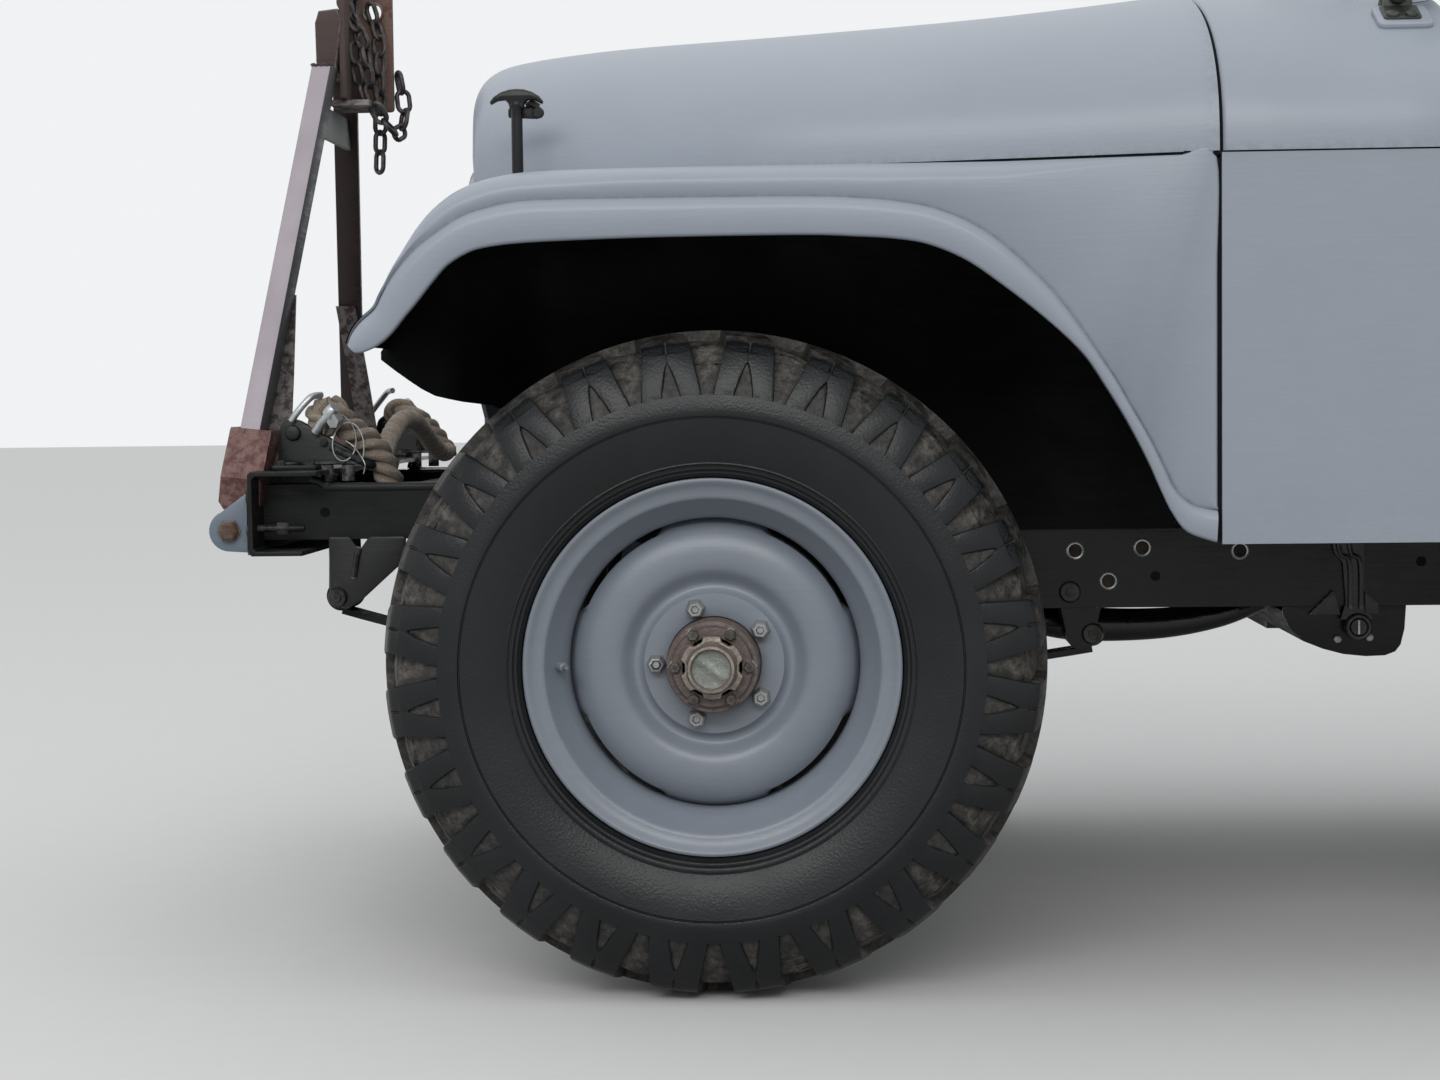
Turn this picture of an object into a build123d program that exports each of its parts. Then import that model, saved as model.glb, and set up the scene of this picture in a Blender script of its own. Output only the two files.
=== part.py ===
from build123d import *
from math import atan2, cos, degrees, hypot, radians, sin, tan
import os

os.makedirs("parts", exist_ok=True)

# An open army 4x4 car with round fenders, folding windscreen and a tow bar folded up at its nose.
# Millimetres. X points forward, Y to the car's left, Z up from the ground.

# Overall places
wheelbase = 2057.0
track = 1247.0
front_overhang = 675.0          # front axle to the tow bar ears' noses
rear_overhang = 858.0           # rear axle to the spare tyre's outer face
half_length = (front_overhang + wheelbase + rear_overhang) / 2
front_x = half_length - front_overhang
rear_x = front_x - wheelbase

# Wheels and tyres
tyre_r = 402.0
tyre_width = 206.0
bead_r = 226.0
rim_flange_r = 224.0
rim_half_width = 70.0
rim_seat_r = 204.0
rim_well_r = 184.0
rim_wall = 5.0
disc_wall = 5.0
disc_face = 15.0                # disc's nut face, outward from the wheel's middle plane
disc_bore_r = 57.0
lug_circle_r = 69.85
lug_nut_r = 11.0
drum_r = 125.0
hub_reach = 96.0
spare_y = -330.0
spare_z = 975.0

# Frame
rail_face = 370.0
rail_width = 60.0
rail_wall = 5.0
rail_mid_top = 546.0
rail_mid_bottom = 443.0
rail_front_top = 615.0
rail_front_bottom = 542.0
rail_rear_top = 600.0
rail_rear_bottom = 522.0
rail_kick_top = 640.0
rail_kick_bottom = 560.0
rail_kick_drop = 62.0
rail_rear_drop = 24.0

# Bumper and tow gear
bumper_face = front_x + 616.0
bumper_half = 436.0
bumper_top = 634.0
bumper_bottom = 524.0
bumper_depth = 92.0
bumper_wall = 6.0
ear_nose_r = 27.0
ear_wall = 9.0
tow_pivot_x = front_x + front_overhang - ear_nose_r
tow_pivot_z = 556.0
tow_pivot_y = 376.0
tow_pin_r = 9.0
tow_eye_r = 22.0
tow_eye_width = 38.0
tow_lean = 6.3                  # degrees back from upright
tow_foot_up = 52.0
tow_bend_up = 690.0             # pivot to the legs' bend, along the bar
tow_head_y = 48.0
tow_head_rise = 118.0
tow_tube = 36.0
sling_y = 345.0
sling_hole_r = 13.0
sling_pin_x = front_x + 522.0
sling_pin_z = 684.0

# Bodywork
body_half = 757.0
fender_half = body_half + 8
fender_top = 993.0
fender_wall = 4.0
fender_gap = 6.0
sill_z = 548.0
cowl_front_x = front_x - 592.0
cowl_rear_x = front_x - 872.0
hood_nose_x = front_x + 345.0
hood_wall = 3.0
grille_x = front_x + 308.0
skin = 5.0
floor_z = 590.0
floor_wall = 6.0
side_top = 1015.0
door_low = 735.0
door_front_x = cowl_rear_x
door_rear_x = front_x - 1500.0
tub_rear_x = front_x - 2665.0
wheelhouse_top = 868.0
wheelhouse_x = rear_x + 391
wheelhouse_y = 470.0

# Windscreen
screen_pivot_x = front_x - 815.0
screen_pivot_z = 1187.0
screen_pin_r = 6.0
screen_arm_y = 622.0
screen_arm_wall = 12.0
screen_plane_x = screen_pivot_x - 92.0
screen_low = 1268.0
screen_high = 1775.0
screen_half = 655.0
screen_depth = 28.0
screen_bar = 42.0
glass_wall = 6.0

# Steering
kingpin_y = track / 2 - 111.5
ball_r = 50.0
ball_gap = 0.5
cup_r = 64.0
cup_lip = 8.0
kingpin_cap = 24.0
backing_inset = 41.0            # wheel's middle plane to the brake backing plate's outer face
backing_wall = 7.0
spindle_r = 24.0
spindle_reach = 40.0
spindle_gap = 0.5
arm_ahead = 165.0
arm_y = kingpin_y + 15
arm_low = 382.0
arm_wall = 16.0


def keep(builder, name):
    builder.part.label = name
    export_step(builder.part, f"parts/{name}.step")


def side_plane(y, x=0.0, z=0.0):
    """A plane whose sketch x is the car's X and whose sketch y is up, looking along +Y."""
    return Plane(origin=(x, y, z), x_dir=(1, 0, 0), z_dir=(0, -1, 0))


def round_plane(centre, out):
    """A plane through a wheel's axis: sketch x is radial and sketch y runs outward along the axis."""
    return Plane(origin=centre, x_dir=(0, 0, 1), z_dir=Vector(0, 0, 1).cross(Vector(*out)))


# Wheels: radius and outward distance from the middle plane
rim_profile = [
    (rim_flange_r, rim_half_width), (rim_flange_r - 4, rim_half_width - 6), (rim_seat_r + 2, rim_half_width - 8),
    (rim_seat_r, 32), (rim_well_r, 20), (rim_well_r, -20), (rim_seat_r, -34),
    (rim_seat_r + 2, 8 - rim_half_width), (rim_flange_r - 4, 6 - rim_half_width), (rim_flange_r, -rim_half_width),
    (rim_flange_r - 8, -rim_half_width), (rim_seat_r - rim_wall + 1, 4 - rim_half_width),
    (rim_seat_r - rim_wall, -38), (rim_well_r - rim_wall, -24), (rim_well_r - rim_wall, 24),
    (rim_seat_r - rim_wall, 36), (rim_seat_r - rim_wall + 1, rim_half_width - 4), (rim_flange_r - 8, rim_half_width),
]
disc_line = [(disc_bore_r, disc_face), (88, disc_face), (112, 4), (137, 20), (160, 10), (rim_well_r - 2, -6)]


def wheel(name, centre, out, with_hub):
    plane = round_plane(centre, out)
    axis = Axis(centre, out)
    with BuildPart() as body:
        with BuildSketch(plane):
            with BuildLine():
                Polyline(*rim_profile, close=True)
            make_face()
        revolve(axis=axis)
        with BuildSketch(plane):
            with BuildLine():
                Polyline(*disc_line, *[(r, a - disc_wall) for r, a in reversed(disc_line)], close=True)
            make_face()
        revolve(axis=axis)
        face = Plane(origin=Vector(*centre) + Vector(*out) * disc_face, x_dir=(0, 0, 1), z_dir=out)
        with BuildSketch(face):
            with PolarLocations(lug_circle_r, 5, start_angle=-90):
                RegularPolygon(lug_nut_r, 6)
        extrude(amount=16)
        if with_hub:
            with BuildSketch(plane):
                with BuildLine():
                    Polyline(
                        (0, hub_reach), (24, hub_reach), (30, hub_reach - 8), (30, 64), (56, 62), (56, 44),
                        (46, 40), (46, disc_face + 8), (disc_bore_r + 3, disc_face - disc_wall),
                        (86, disc_face - disc_wall), (drum_r, -12), (drum_r, 3 - backing_inset),
                        (drum_r - 8, 3 - backing_inset), (drum_r - 8, -16), (spindle_r + spindle_gap, -16),
                        (spindle_r + spindle_gap, spindle_reach + 2), (0, spindle_reach + 2), close=True)
                make_face()
            revolve(axis=axis)
    keep(body, f"wheel_{name}")


tyre_profile = [
    (bead_r, 62), (bead_r + 8, 74), (262, 92), (300, tyre_width / 2), (325, tyre_width / 2),
    (352, 100), (tyre_r - 14, 92), (tyre_r, 76), (tyre_r, -76), (tyre_r - 14, -92), (352, -100),
    (325, -tyre_width / 2), (300, -tyre_width / 2), (262, -92), (bead_r + 8, -74), (bead_r, -62),
    (rim_seat_r + 2.4, -60), (rim_seat_r + 0.9, -40), (bead_r + 14, -56), (290, -86), (340, -84),
    (tyre_r - 30, -68), (tyre_r - 30, 68), (340, 84), (290, 86), (bead_r + 14, 56),
    (rim_seat_r + 0.9, 40), (rim_seat_r + 2.4, 60),
]


def tyre(name, centre, out):
    plane = round_plane(centre, out)
    with BuildPart() as body:
        with BuildSketch(plane):
            with BuildLine():
                Polyline(*tyre_profile, close=True)
            make_face()
        revolve(axis=Axis(centre, out))
    keep(body, f"tyre_{name}")


# name, X, Y, outward direction
corners = [
    ("front_left", front_x, track / 2, (0, 1, 0)),
    ("front_right", front_x, -track / 2, (0, -1, 0)),
    ("rear_left", rear_x, track / 2, (0, 1, 0)),
    ("rear_right", rear_x, -track / 2, (0, -1, 0)),
]
for name, x, y, out in corners:
    wheel(name, (x, y, tyre_r), out, True)
    tyre(name, (x, y, tyre_r), out)
spare_x = -half_length + tyre_width / 2
wheel("spare", (spare_x, spare_y, spare_z), (-1, 0, 0), False)
tyre("spare", (spare_x, spare_y, spare_z), (-1, 0, 0))

# Frame: two channel rails that kick up over each axle, and their crossmembers
rail_stations = [
    # X, top, bottom
    (bumper_face - bumper_wall, rail_front_top, rail_front_bottom),
    (front_x + 150, rail_front_top, rail_front_bottom),
    (front_x - 330, rail_mid_top, rail_mid_bottom),
    (rear_x + 560, rail_mid_top, rail_mid_bottom),
    (rear_x + 230, rail_kick_top - rail_kick_drop, rail_kick_bottom),
    (rear_x - 120, rail_kick_top - rail_kick_drop, rail_kick_bottom),
    (rear_x - 330, rail_rear_top - rail_rear_drop, rail_rear_bottom),
    (tub_rear_x, rail_rear_top - rail_rear_drop, rail_rear_bottom),
]
rail_outline = [(x, top) for x, top, low in rail_stations] + [(x, low) for x, top, low in reversed(rail_stations)]
# X and Z of the crossmembers' middles
crossmembers = [(front_x + 430, 578), (rear_x + 420, 492), (tub_rear_x + 40, 546)]
# X and rail top of the body mounts
body_mounts = [
    (front_x - 660, rail_mid_top), (front_x - 1080, rail_mid_top), (rear_x + 580, rail_mid_top),
    (rear_x + 60, rail_kick_top - rail_kick_drop), (tub_rear_x + 70, rail_rear_top - rail_rear_drop),
]
spring_y = rail_face - rail_width / 2
with BuildPart() as frame:
    for side in (1, -1):
        with BuildSketch(side_plane(side * rail_face)):
            with BuildLine():
                Polyline(*rail_outline, close=True)
            make_face()
        extrude(amount=side * rail_width)
        with BuildSketch(side_plane(side * (rail_face - rail_wall))):
            with BuildLine():
                Polyline(*rail_outline, close=True)
            make_face()
            offset(amount=-rail_wall, mode=Mode.REPLACE)
        extrude(amount=side * rail_width, mode=Mode.SUBTRACT)
    inner = 2 * (rail_face - rail_wall)
    for x, z in crossmembers:
        with BuildSketch(Plane.XZ.offset(-inner / 2)):
            with Locations((x, z)):
                Rectangle(60, 56)
                Rectangle(50, 46, mode=Mode.SUBTRACT)
        extrude(amount=inner)
    for x, top in body_mounts:
        for side in (1, -1):
            with Locations((x, side * spring_y, (top + floor_z - floor_wall) / 2)):
                Box(44, 44, floor_z - floor_wall - top)
keep(frame, "frame")

with BuildPart() as front_bumper:
    with BuildSketch(side_plane(bumper_half)):
        with Locations((bumper_face - bumper_depth / 2, (bumper_top + bumper_bottom) / 2)):
            Rectangle(bumper_depth, bumper_top - bumper_bottom)
        with Locations((bumper_face - bumper_depth / 2 - bumper_wall, (bumper_top + bumper_bottom) / 2)):
            Rectangle(bumper_depth, bumper_top - bumper_bottom - 2 * bumper_wall, mode=Mode.SUBTRACT)
    extrude(amount=2 * bumper_half)
keep(front_bumper, "front_bumper")

# Tow bar ears: two plates each side of each leg's eye, on a back plate on the bumper
ear_gap = tow_eye_width + 4
ear_outline_top = 597.0
ear_outline_low = 522.0
with BuildPart() as tow_bar_ears:
    for side in (1, -1):
        for across in (1, -1):
            y = side * tow_pivot_y + across * (ear_gap + ear_wall) / 2
            with BuildSketch(side_plane(y + ear_wall / 2)):
                with BuildLine():
                    Polyline(
                        (bumper_face + 8, ear_outline_low), (tow_pivot_x, tow_pivot_z - ear_nose_r),
                        (tow_pivot_x, tow_pivot_z + ear_nose_r), (bumper_face + 8, ear_outline_top), close=True)
                make_face()
                with Locations((tow_pivot_x, tow_pivot_z)):
                    Circle(ear_nose_r)
                    Circle(tow_pin_r + 0.3, mode=Mode.SUBTRACT)
            extrude(amount=ear_wall)
        with Locations((bumper_face + 4, side * tow_pivot_y, (ear_outline_top + ear_outline_low) / 2)):
            Box(8, ear_gap + 2 * ear_wall, ear_outline_top - ear_outline_low)
keep(tow_bar_ears, "tow_bar_ears")

with BuildPart() as sling_brackets:
    for side in (1, -1):
        with BuildSketch(side_plane(side * sling_y + 5)):
            with BuildLine():
                Polyline(
                    (front_x + 600, bumper_top), (front_x + 599, 694), (front_x + 588, 703),
                    (front_x + 572, 703), (front_x + 480, 650), (front_x + 480, rail_front_top + 19),
                    close=True)
            make_face()
            with Locations((sling_pin_x, sling_pin_z - 20)):
                Circle(sling_hole_r, mode=Mode.SUBTRACT)
        extrude(amount=10)
keep(sling_brackets, "sling_brackets")

# Tow bar: an A of two square tubes, eyes below and a bent head above, drawn upright and then leant back
tow_up = Plane(origin=(tow_pivot_x, 0, tow_pivot_z), x_dir=(0, 1, 0),
               z_dir=(cos(radians(tow_lean)), 0, sin(radians(tow_lean))))
with BuildPart() as tow_bar:
    for side in (1, -1):
        foot = (side * tow_pivot_y, tow_foot_up)
        knee = (side * tow_head_y, tow_bend_up)
        head = (side * tow_head_y, tow_bend_up + tow_head_rise)
        with BuildSketch(tow_up):
            with BuildLine():
                Polyline(
                    (foot[0] - side * tow_tube / 2, foot[1]), (knee[0] - side * tow_tube / 2, knee[1]),
                    (head[0] - side * tow_tube / 2, head[1]), (head[0] + side * tow_tube / 2, head[1]),
                    (knee[0] + side * tow_tube / 2, knee[1]), (foot[0] + side * tow_tube / 2, foot[1]),
                    close=True)
            make_face()
        extrude(amount=tow_tube / 2, both=True)
        with BuildSketch(side_plane(side * tow_pivot_y + tow_eye_width / 2)):
            with Locations((tow_pivot_x, tow_pivot_z)):
                Circle(tow_eye_r)
        extrude(amount=tow_eye_width)
        with BuildSketch(tow_up):
            with Locations((side * tow_pivot_y, tow_foot_up / 2 + 8)):
                Rectangle(tow_eye_width - 2, tow_foot_up)
        extrude(amount=14, both=True)
        with BuildSketch(side_plane(side * tow_pivot_y + ear_gap / 2 + ear_wall + 12)):
            with Locations((tow_pivot_x, tow_pivot_z)):
                Circle(tow_pin_r)
        extrude(amount=ear_gap + 2 * ear_wall + 24)
    with BuildSketch(tow_up.offset(tow_tube / 2)):
        with BuildLine():
            Polyline(
                (-tow_head_y - 20, tow_bend_up - 70), (tow_head_y + 20, tow_bend_up - 70),
                (tow_head_y + 20, tow_bend_up + tow_head_rise), (-tow_head_y - 20, tow_bend_up + tow_head_rise),
                close=True)
        make_face()
        with Locations((0, tow_bend_up + 60)):
            Circle(16, mode=Mode.SUBTRACT)
    extrude(amount=8)
keep(tow_bar, "tow_bar")

# Shackles: a pin through each sling bracket's hole and a bow of round bar that lies back and down
shackle_bar = 6.0
shackle_half = 18.0
shackle_reach = 62.0
shackle_drop = 25.0             # degrees below level
shackle_pin_r = sling_hole_r - 0.3
with BuildPart() as sling_shackles:
    for side in (1, -1):
        pin_centre = (sling_pin_x, side * sling_y, sling_pin_z - 20)
        bow_plane = Plane(
            origin=pin_centre, x_dir=(-cos(radians(shackle_drop)), 0, -sin(radians(shackle_drop))),
            z_dir=(sin(radians(shackle_drop)), 0, -cos(radians(shackle_drop))))
        turn_at = shackle_reach - shackle_half
        with BuildLine(bow_plane) as bow:
            Line((0, shackle_half), (turn_at, shackle_half))
            ThreePointArc((turn_at, shackle_half), (shackle_reach, 0), (turn_at, -shackle_half))
            Line((turn_at, -shackle_half), (0, -shackle_half))
        with BuildSketch(Plane(origin=bow.line @ 0, z_dir=bow.line % 0)):
            Circle(shackle_bar)
        sweep(path=bow.line)
        with BuildSketch(side_plane(side * sling_y + shackle_half + 12, sling_pin_x, sling_pin_z - 20)):
            Circle(shackle_pin_r)
        extrude(amount=2 * shackle_half + 24)
keep(sling_shackles, "sling_shackles")

# Rope round the two slings and behind the rails' horns
rope_r = 14.0
rope_points = [
    (front_x + 474, 321.1, 645), (front_x + 471, 285, 642), (front_x + 474, 238, 647), (front_x + 478, 184, 662),
    (front_x + 480, 128, 681), (front_x + 480, 70, 694), (front_x + 481, 12, 699), (front_x + 480, -48, 696),
    (front_x + 479, -104, 685), (front_x + 477, -156, 668), (front_x + 474, -204, 652),
    (front_x + 471, -248, 643), (front_x + 471, -287, 642), (front_x + 474, -321.1, 645),
]


def cord_radii(points):
    found = []
    for a, b, c in zip(points, points[1:], points[2:]):
        first = Vector(*b) - Vector(*a)
        second = Vector(*c) - Vector(*b)
        turn = first.get_angle(second)
        found.append(0.45 * min(first.length, second.length) / tan(radians(turn / 2)))
    return found


rope_radii = cord_radii(rope_points)
print("rope radii", [round(r) for r in rope_radii])
with BuildPart() as rope:
    with BuildLine() as rope_path:
        FilletPolyline(*rope_points, radius=rope_radii)
    with BuildSketch(Plane(origin=rope_path.line @ 0, z_dir=rope_path.line % 0)):
        Circle(rope_r)
    sweep(path=rope_path.line)
keep(rope, "rope")

# Front axle with its offset differential, balls for the knuckles, and the rear axle
axle_tube_r = 38.0
diff_y = -190.0
diff_r = 128.0
def differential(x, ahead):
    """The round case in the axle's middle, its cover, and its pinion nose towards the car's middle."""
    Sphere(diff_r)
    with Locations((ahead * -pinion_reach / 2, 0, 0)):
        Cylinder(pinion_r, pinion_reach, rotation=(0, 90, 0))


pinion_r = 62.0
pinion_reach = 190.0
with BuildPart() as front_axle:
    with BuildSketch(side_plane(kingpin_y, front_x, tyre_r)):
        Circle(axle_tube_r)
    extrude(amount=2 * kingpin_y)
    with Locations((front_x, diff_y, tyre_r)):
        differential(front_x, 1)
    for side in (1, -1):
        with Locations((front_x, side * kingpin_y, tyre_r)):
            Sphere(ball_r)
keep(front_axle, "front_axle")

backing_y = track / 2 - backing_inset
with BuildPart() as rear_axle:
    with BuildSketch(side_plane(backing_y, rear_x, tyre_r)):
        Circle(axle_tube_r)
    extrude(amount=2 * backing_y)
    with Locations((rear_x, diff_y, tyre_r)):
        differential(rear_x, -1)
    for side in (1, -1):
        with BuildSketch(side_plane(side * backing_y, rear_x, tyre_r)):
            Circle(drum_r)
        extrude(amount=side * backing_wall)
        with BuildSketch(side_plane(side * backing_y, rear_x, tyre_r)):
            Circle(spindle_r)
        extrude(amount=-side * (backing_inset + spindle_reach))
keep(rear_axle, "rear_axle")

# Steering knuckles: a cup round each ball, kingpin caps, backing plate, spindle and steering arm
for name, side in (("left", 1), ("right", -1)):
    centre = (front_x, side * kingpin_y, tyre_r)
    with BuildPart() as knuckle:
        cup_inner = ball_r + ball_gap
        with BuildSketch(round_plane(centre, (0, side, 0))):
            with BuildLine():
                inside = ThreePointArc((0, cup_inner), (cup_inner * sin(radians(45)), cup_inner * cos(radians(45))),
                                       ((cup_inner ** 2 - cup_lip ** 2) ** 0.5, cup_lip))
                outside = ThreePointArc(((cup_r ** 2 - cup_lip ** 2) ** 0.5, cup_lip),
                                        (cup_r * sin(radians(45)), cup_r * cos(radians(45))), (0, cup_r))
                Line(inside @ 1, outside @ 0)
                Line(outside @ 1, inside @ 0)
            make_face()
        revolve(axis=Axis(centre, (0, 1, 0)))
        for above in (1, -1):
            with Locations((front_x, side * kingpin_y, tyre_r + above * (cup_inner + kingpin_cap / 2))):
                Cylinder(24, kingpin_cap)
        with BuildSketch(Plane(origin=(front_x, 0, arm_low), z_dir=(0, 0, 1))):
            with BuildLine():
                Polyline(
                    (ball_r + 5, side * (kingpin_y + 10)), (ball_r + 5, side * (kingpin_y + 44)),
                    (arm_ahead, side * (arm_y + 14)), (arm_ahead, side * (arm_y - 14)), close=True)
            make_face()
            with Locations((arm_ahead, side * arm_y)):
                Circle(16)
        extrude(amount=arm_wall)
        with BuildSketch(side_plane(side * backing_y, front_x, tyre_r)):
            Circle(drum_r)
        extrude(amount=side * backing_wall)
        with BuildSketch(side_plane(side * (kingpin_y + cup_inner + 4), front_x, tyre_r)):
            Circle(30)
        extrude(amount=-side * (backing_y - kingpin_y - cup_inner - 4))
        with BuildSketch(side_plane(side * backing_y, front_x, tyre_r)):
            Circle(spindle_r)
        extrude(amount=-side * (backing_inset + spindle_reach))
    keep(knuckle, f"knuckle_{name}")

tie_x = front_x + arm_ahead
tie_z = arm_low + arm_wall
with BuildPart() as tie_rod:
    with BuildSketch(side_plane(arm_y, tie_x, tie_z + 20)):
        Circle(12)
    extrude(amount=2 * arm_y)
    for side in (1, -1):
        with Locations((tie_x, side * arm_y, tie_z + 17.3)):
            Cylinder(14, 34)
keep(tie_rod, "tie_rod")

# Leaf springs slung under the axles, with their seats, hangers ahead and shackles behind
leaf_width = 45.0
leaf_wall = 8.0
leaf_count = 5
eye_r = 17.0
spring_top = tyre_r - axle_tube_r - 0.3
# axle X, front eye X and Z, rear eye X and Z
springs = [
    (front_x, front_x + 508, 467, front_x - 481, 409),
    (rear_x, rear_x + 520, 415, rear_x - 500, 452),
]


def circle_through(a, b, c):
    """Centre and radius of the circle through three points of the plane."""
    (ax, az), (bx, bz), (cx, cz) = a, b, c
    double = 2 * (ax * (bz - cz) + bx * (cz - az) + cx * (az - bz))
    sa, sb, sc = ax * ax + az * az, bx * bx + bz * bz, cx * cx + cz * cz
    x = (sa * (bz - cz) + sb * (cz - az) + sc * (az - bz)) / double
    z = (sa * (cx - bx) + sb * (ax - cx) + sc * (bx - ax)) / double
    return x, z, hypot(ax - x, az - z)


with BuildPart() as leaf_springs:
    for axle_x, front_eye_x, front_eye_z, rear_eye_x, rear_eye_z in springs:
        bend_x, bend_z, bend_r = circle_through(
            (front_eye_x, front_eye_z - eye_r), (axle_x, spring_top), (rear_eye_x, rear_eye_z - eye_r))
        start = degrees(atan2(rear_eye_z - eye_r - bend_z, rear_eye_x - bend_x))
        end = degrees(atan2(front_eye_z - eye_r - bend_z, front_eye_x - bend_x))
        middle = (start + end) / 2
        for side in (1, -1):
            for leaf in range(leaf_count):
                share = 1 - 0.17 * leaf
                a = middle + (start - middle) * share
                b = middle + (end - middle) * share
                inner_r = bend_r + leaf * leaf_wall
                outer_r = inner_r + leaf_wall
                with BuildSketch(side_plane(side * spring_y + leaf_width / 2)):
                    with BuildLine():
                        inside = CenterArc((bend_x, bend_z), inner_r, a, b - a)
                        outside = CenterArc((bend_x, bend_z), outer_r, a, b - a)
                        Line(inside @ 0, outside @ 0)
                        Line(inside @ 1, outside @ 1)
                    make_face()
                extrude(amount=leaf_width)
            with BuildSketch(side_plane(side * spring_y + leaf_width / 2)):
                for x, z in ((front_eye_x, front_eye_z), (rear_eye_x, rear_eye_z)):
                    with Locations((x, z)):
                        Circle(eye_r)
            extrude(amount=leaf_width)
keep(leaf_springs, "leaf_springs")

# Spring hangers and shackles: plates each side of every eye, up to the rail's underside
hanger_wall = 8.0
# X of the hanger's middle, Z of the eye, Z of the rail's underside, half length at the rail
hangers = [
    (front_x + 508, 467, rail_front_bottom - 0.3, 15),
    (front_x - 466, 409, rail_mid_bottom - 0.3, 26),
    (rear_x + 520, 415, rail_mid_bottom - 0.3, 38),
    (rear_x - 500, 452, rail_rear_bottom - 0.3, 26),
]
with BuildPart() as spring_hangers:
    for x, eye_z, rail_z, half in hangers:
        for side in (1, -1):
            for across in (1, -1):
                y = side * spring_y + across * (leaf_width / 2 + 0.3 + hanger_wall / 2)
                with BuildSketch(side_plane(y + hanger_wall / 2)):
                    with BuildLine():
                        Polyline((x - half, rail_z), (x + half, rail_z), (x + eye_r, eye_z - 6),
                                 (x - eye_r, eye_z - 6), close=True)
                    make_face()
                    with Locations((x, eye_z)):
                        Circle(eye_r + 3)
                extrude(amount=hanger_wall)
keep(spring_hangers, "spring_hangers")

# Engine, gearbox with transfer case, shafts, exhaust
with BuildPart() as engine:
    with Locations((front_x - 230, 0, 800)):
        Box(560, 330, 420)
keep(engine, "engine")

# Skid plate slung under the gearbox, with a hanger at each end up to the rail's underside
skid_z = 384.0
skid_wall = 6.0
skid_half = 80.0
skid_x = front_x - 826
with BuildPart() as skid_plate:
    with Locations((skid_x, 0, skid_z - skid_wall / 2)):
        Box(2 * skid_half, 2 * rail_face, skid_wall)
    for side in (1, -1):
        with BuildSketch(side_plane(side * rail_face)):
            with BuildLine():
                Polyline((skid_x + skid_half + 46, rail_mid_bottom - 0.3), (skid_x + skid_half, skid_z - 1),
                         (skid_x - skid_half, skid_z - 1), (skid_x - skid_half - 46, rail_mid_bottom - 0.3),
                         close=True)
            make_face()
        extrude(amount=side * rail_width)
keep(skid_plate, "skid_plate")

with BuildPart() as gearbox:
    with Locations((front_x - 546, 0, 680)):
        Box(72, 330, 300)
    with Locations((front_x - 720, 0, 510)):
        Box(280, 220, 134)
    with Locations((front_x - 830, -110, (skid_z + 562.3) / 2)):
        Box(140, 320, 561.7 - skid_z)
keep(gearbox, "gearbox")

def rod(start, end, radius):
    run = Vector(*end) - Vector(*start)
    return Solid.make_cylinder(radius, run.length, Plane(origin=start, z_dir=run))


shaft_r = 30.0
yoke_r = 46.0
yoke_wall = 16.0
transfer_front = front_x - 760
transfer_rear = front_x - 900
transfer_z = 470.0
# start X and Z, end X and Z, direction from start to end
shafts = [
    (front_x - pinion_reach, tyre_r, transfer_front, transfer_z, -1),
    (rear_x + pinion_reach, tyre_r, transfer_rear, transfer_z, 1),
]
with BuildPart() as prop_shafts:
    for x, z, end_x, end_z, way in shafts:
        for yoke_x, yoke_z, facing in ((x, z, way), (end_x, end_z, -way)):
            with Locations((yoke_x + facing * (yoke_wall / 2 + 0.3), diff_y, yoke_z)):
                Cylinder(yoke_r, yoke_wall, rotation=(0, 90, 0))
        add(rod((x + way * 12, diff_y, z), (end_x - way * 12, diff_y, end_z), shaft_r))
keep(prop_shafts, "prop_shafts")

# Exhaust: silencer outside the right rail, hung below the floor
silencer_y = -470.0
silencer_z = 478.0
silencer_r = 60.0
with BuildPart() as exhaust:
    add(rod((front_x - 980, silencer_y, silencer_z), (front_x - 1400, silencer_y, silencer_z), silencer_r))
    add(rod((front_x - 1399, silencer_y, silencer_z), (front_x - 1500, silencer_y, silencer_z), 22))
    for x in (front_x - 1040, front_x - 1340):
        with Locations((x, silencer_y, (silencer_z + floor_z - floor_wall - 0.3) / 2)):
            Box(25, 30, floor_z - floor_wall - 0.3 - silencer_z)
keep(exhaust, "exhaust")

# Fenders: outer skirt with the wheel arch, and a top that rolls down at the front
crest = [
    (front_x + 412, 800), (front_x + 384, 833), (front_x + 369, 852), (front_x + 356, 879),
    (front_x + 331, 917), (front_x + 301, 951), (front_x + 260, 978), (front_x + 213, fender_top),
    (cowl_front_x + fender_gap, fender_top),
]
arch = [
    (cowl_front_x + fender_gap, sill_z + 2), (front_x - 548, 566), (front_x - 531, 589), (front_x - 509, 640),
    (front_x - 475, 704), (front_x - 430, 773), (front_x - 384, 815), (front_x - 339, 850),
    (front_x - 305, 874), (front_x - 260, 895), (front_x - 203, 904), (front_x - 66, 908),
    (front_x + 119, 908), (front_x + 211, 904), (front_x + 269, 895), (front_x + 305, 872),
    (front_x + 331, 840), (front_x + 362, 804), (front_x + 382, 786), (front_x + 400, 780),
]
fender_inner = 470.0
apron_low_y = 376.0
apron_low_z = 620.0
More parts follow.
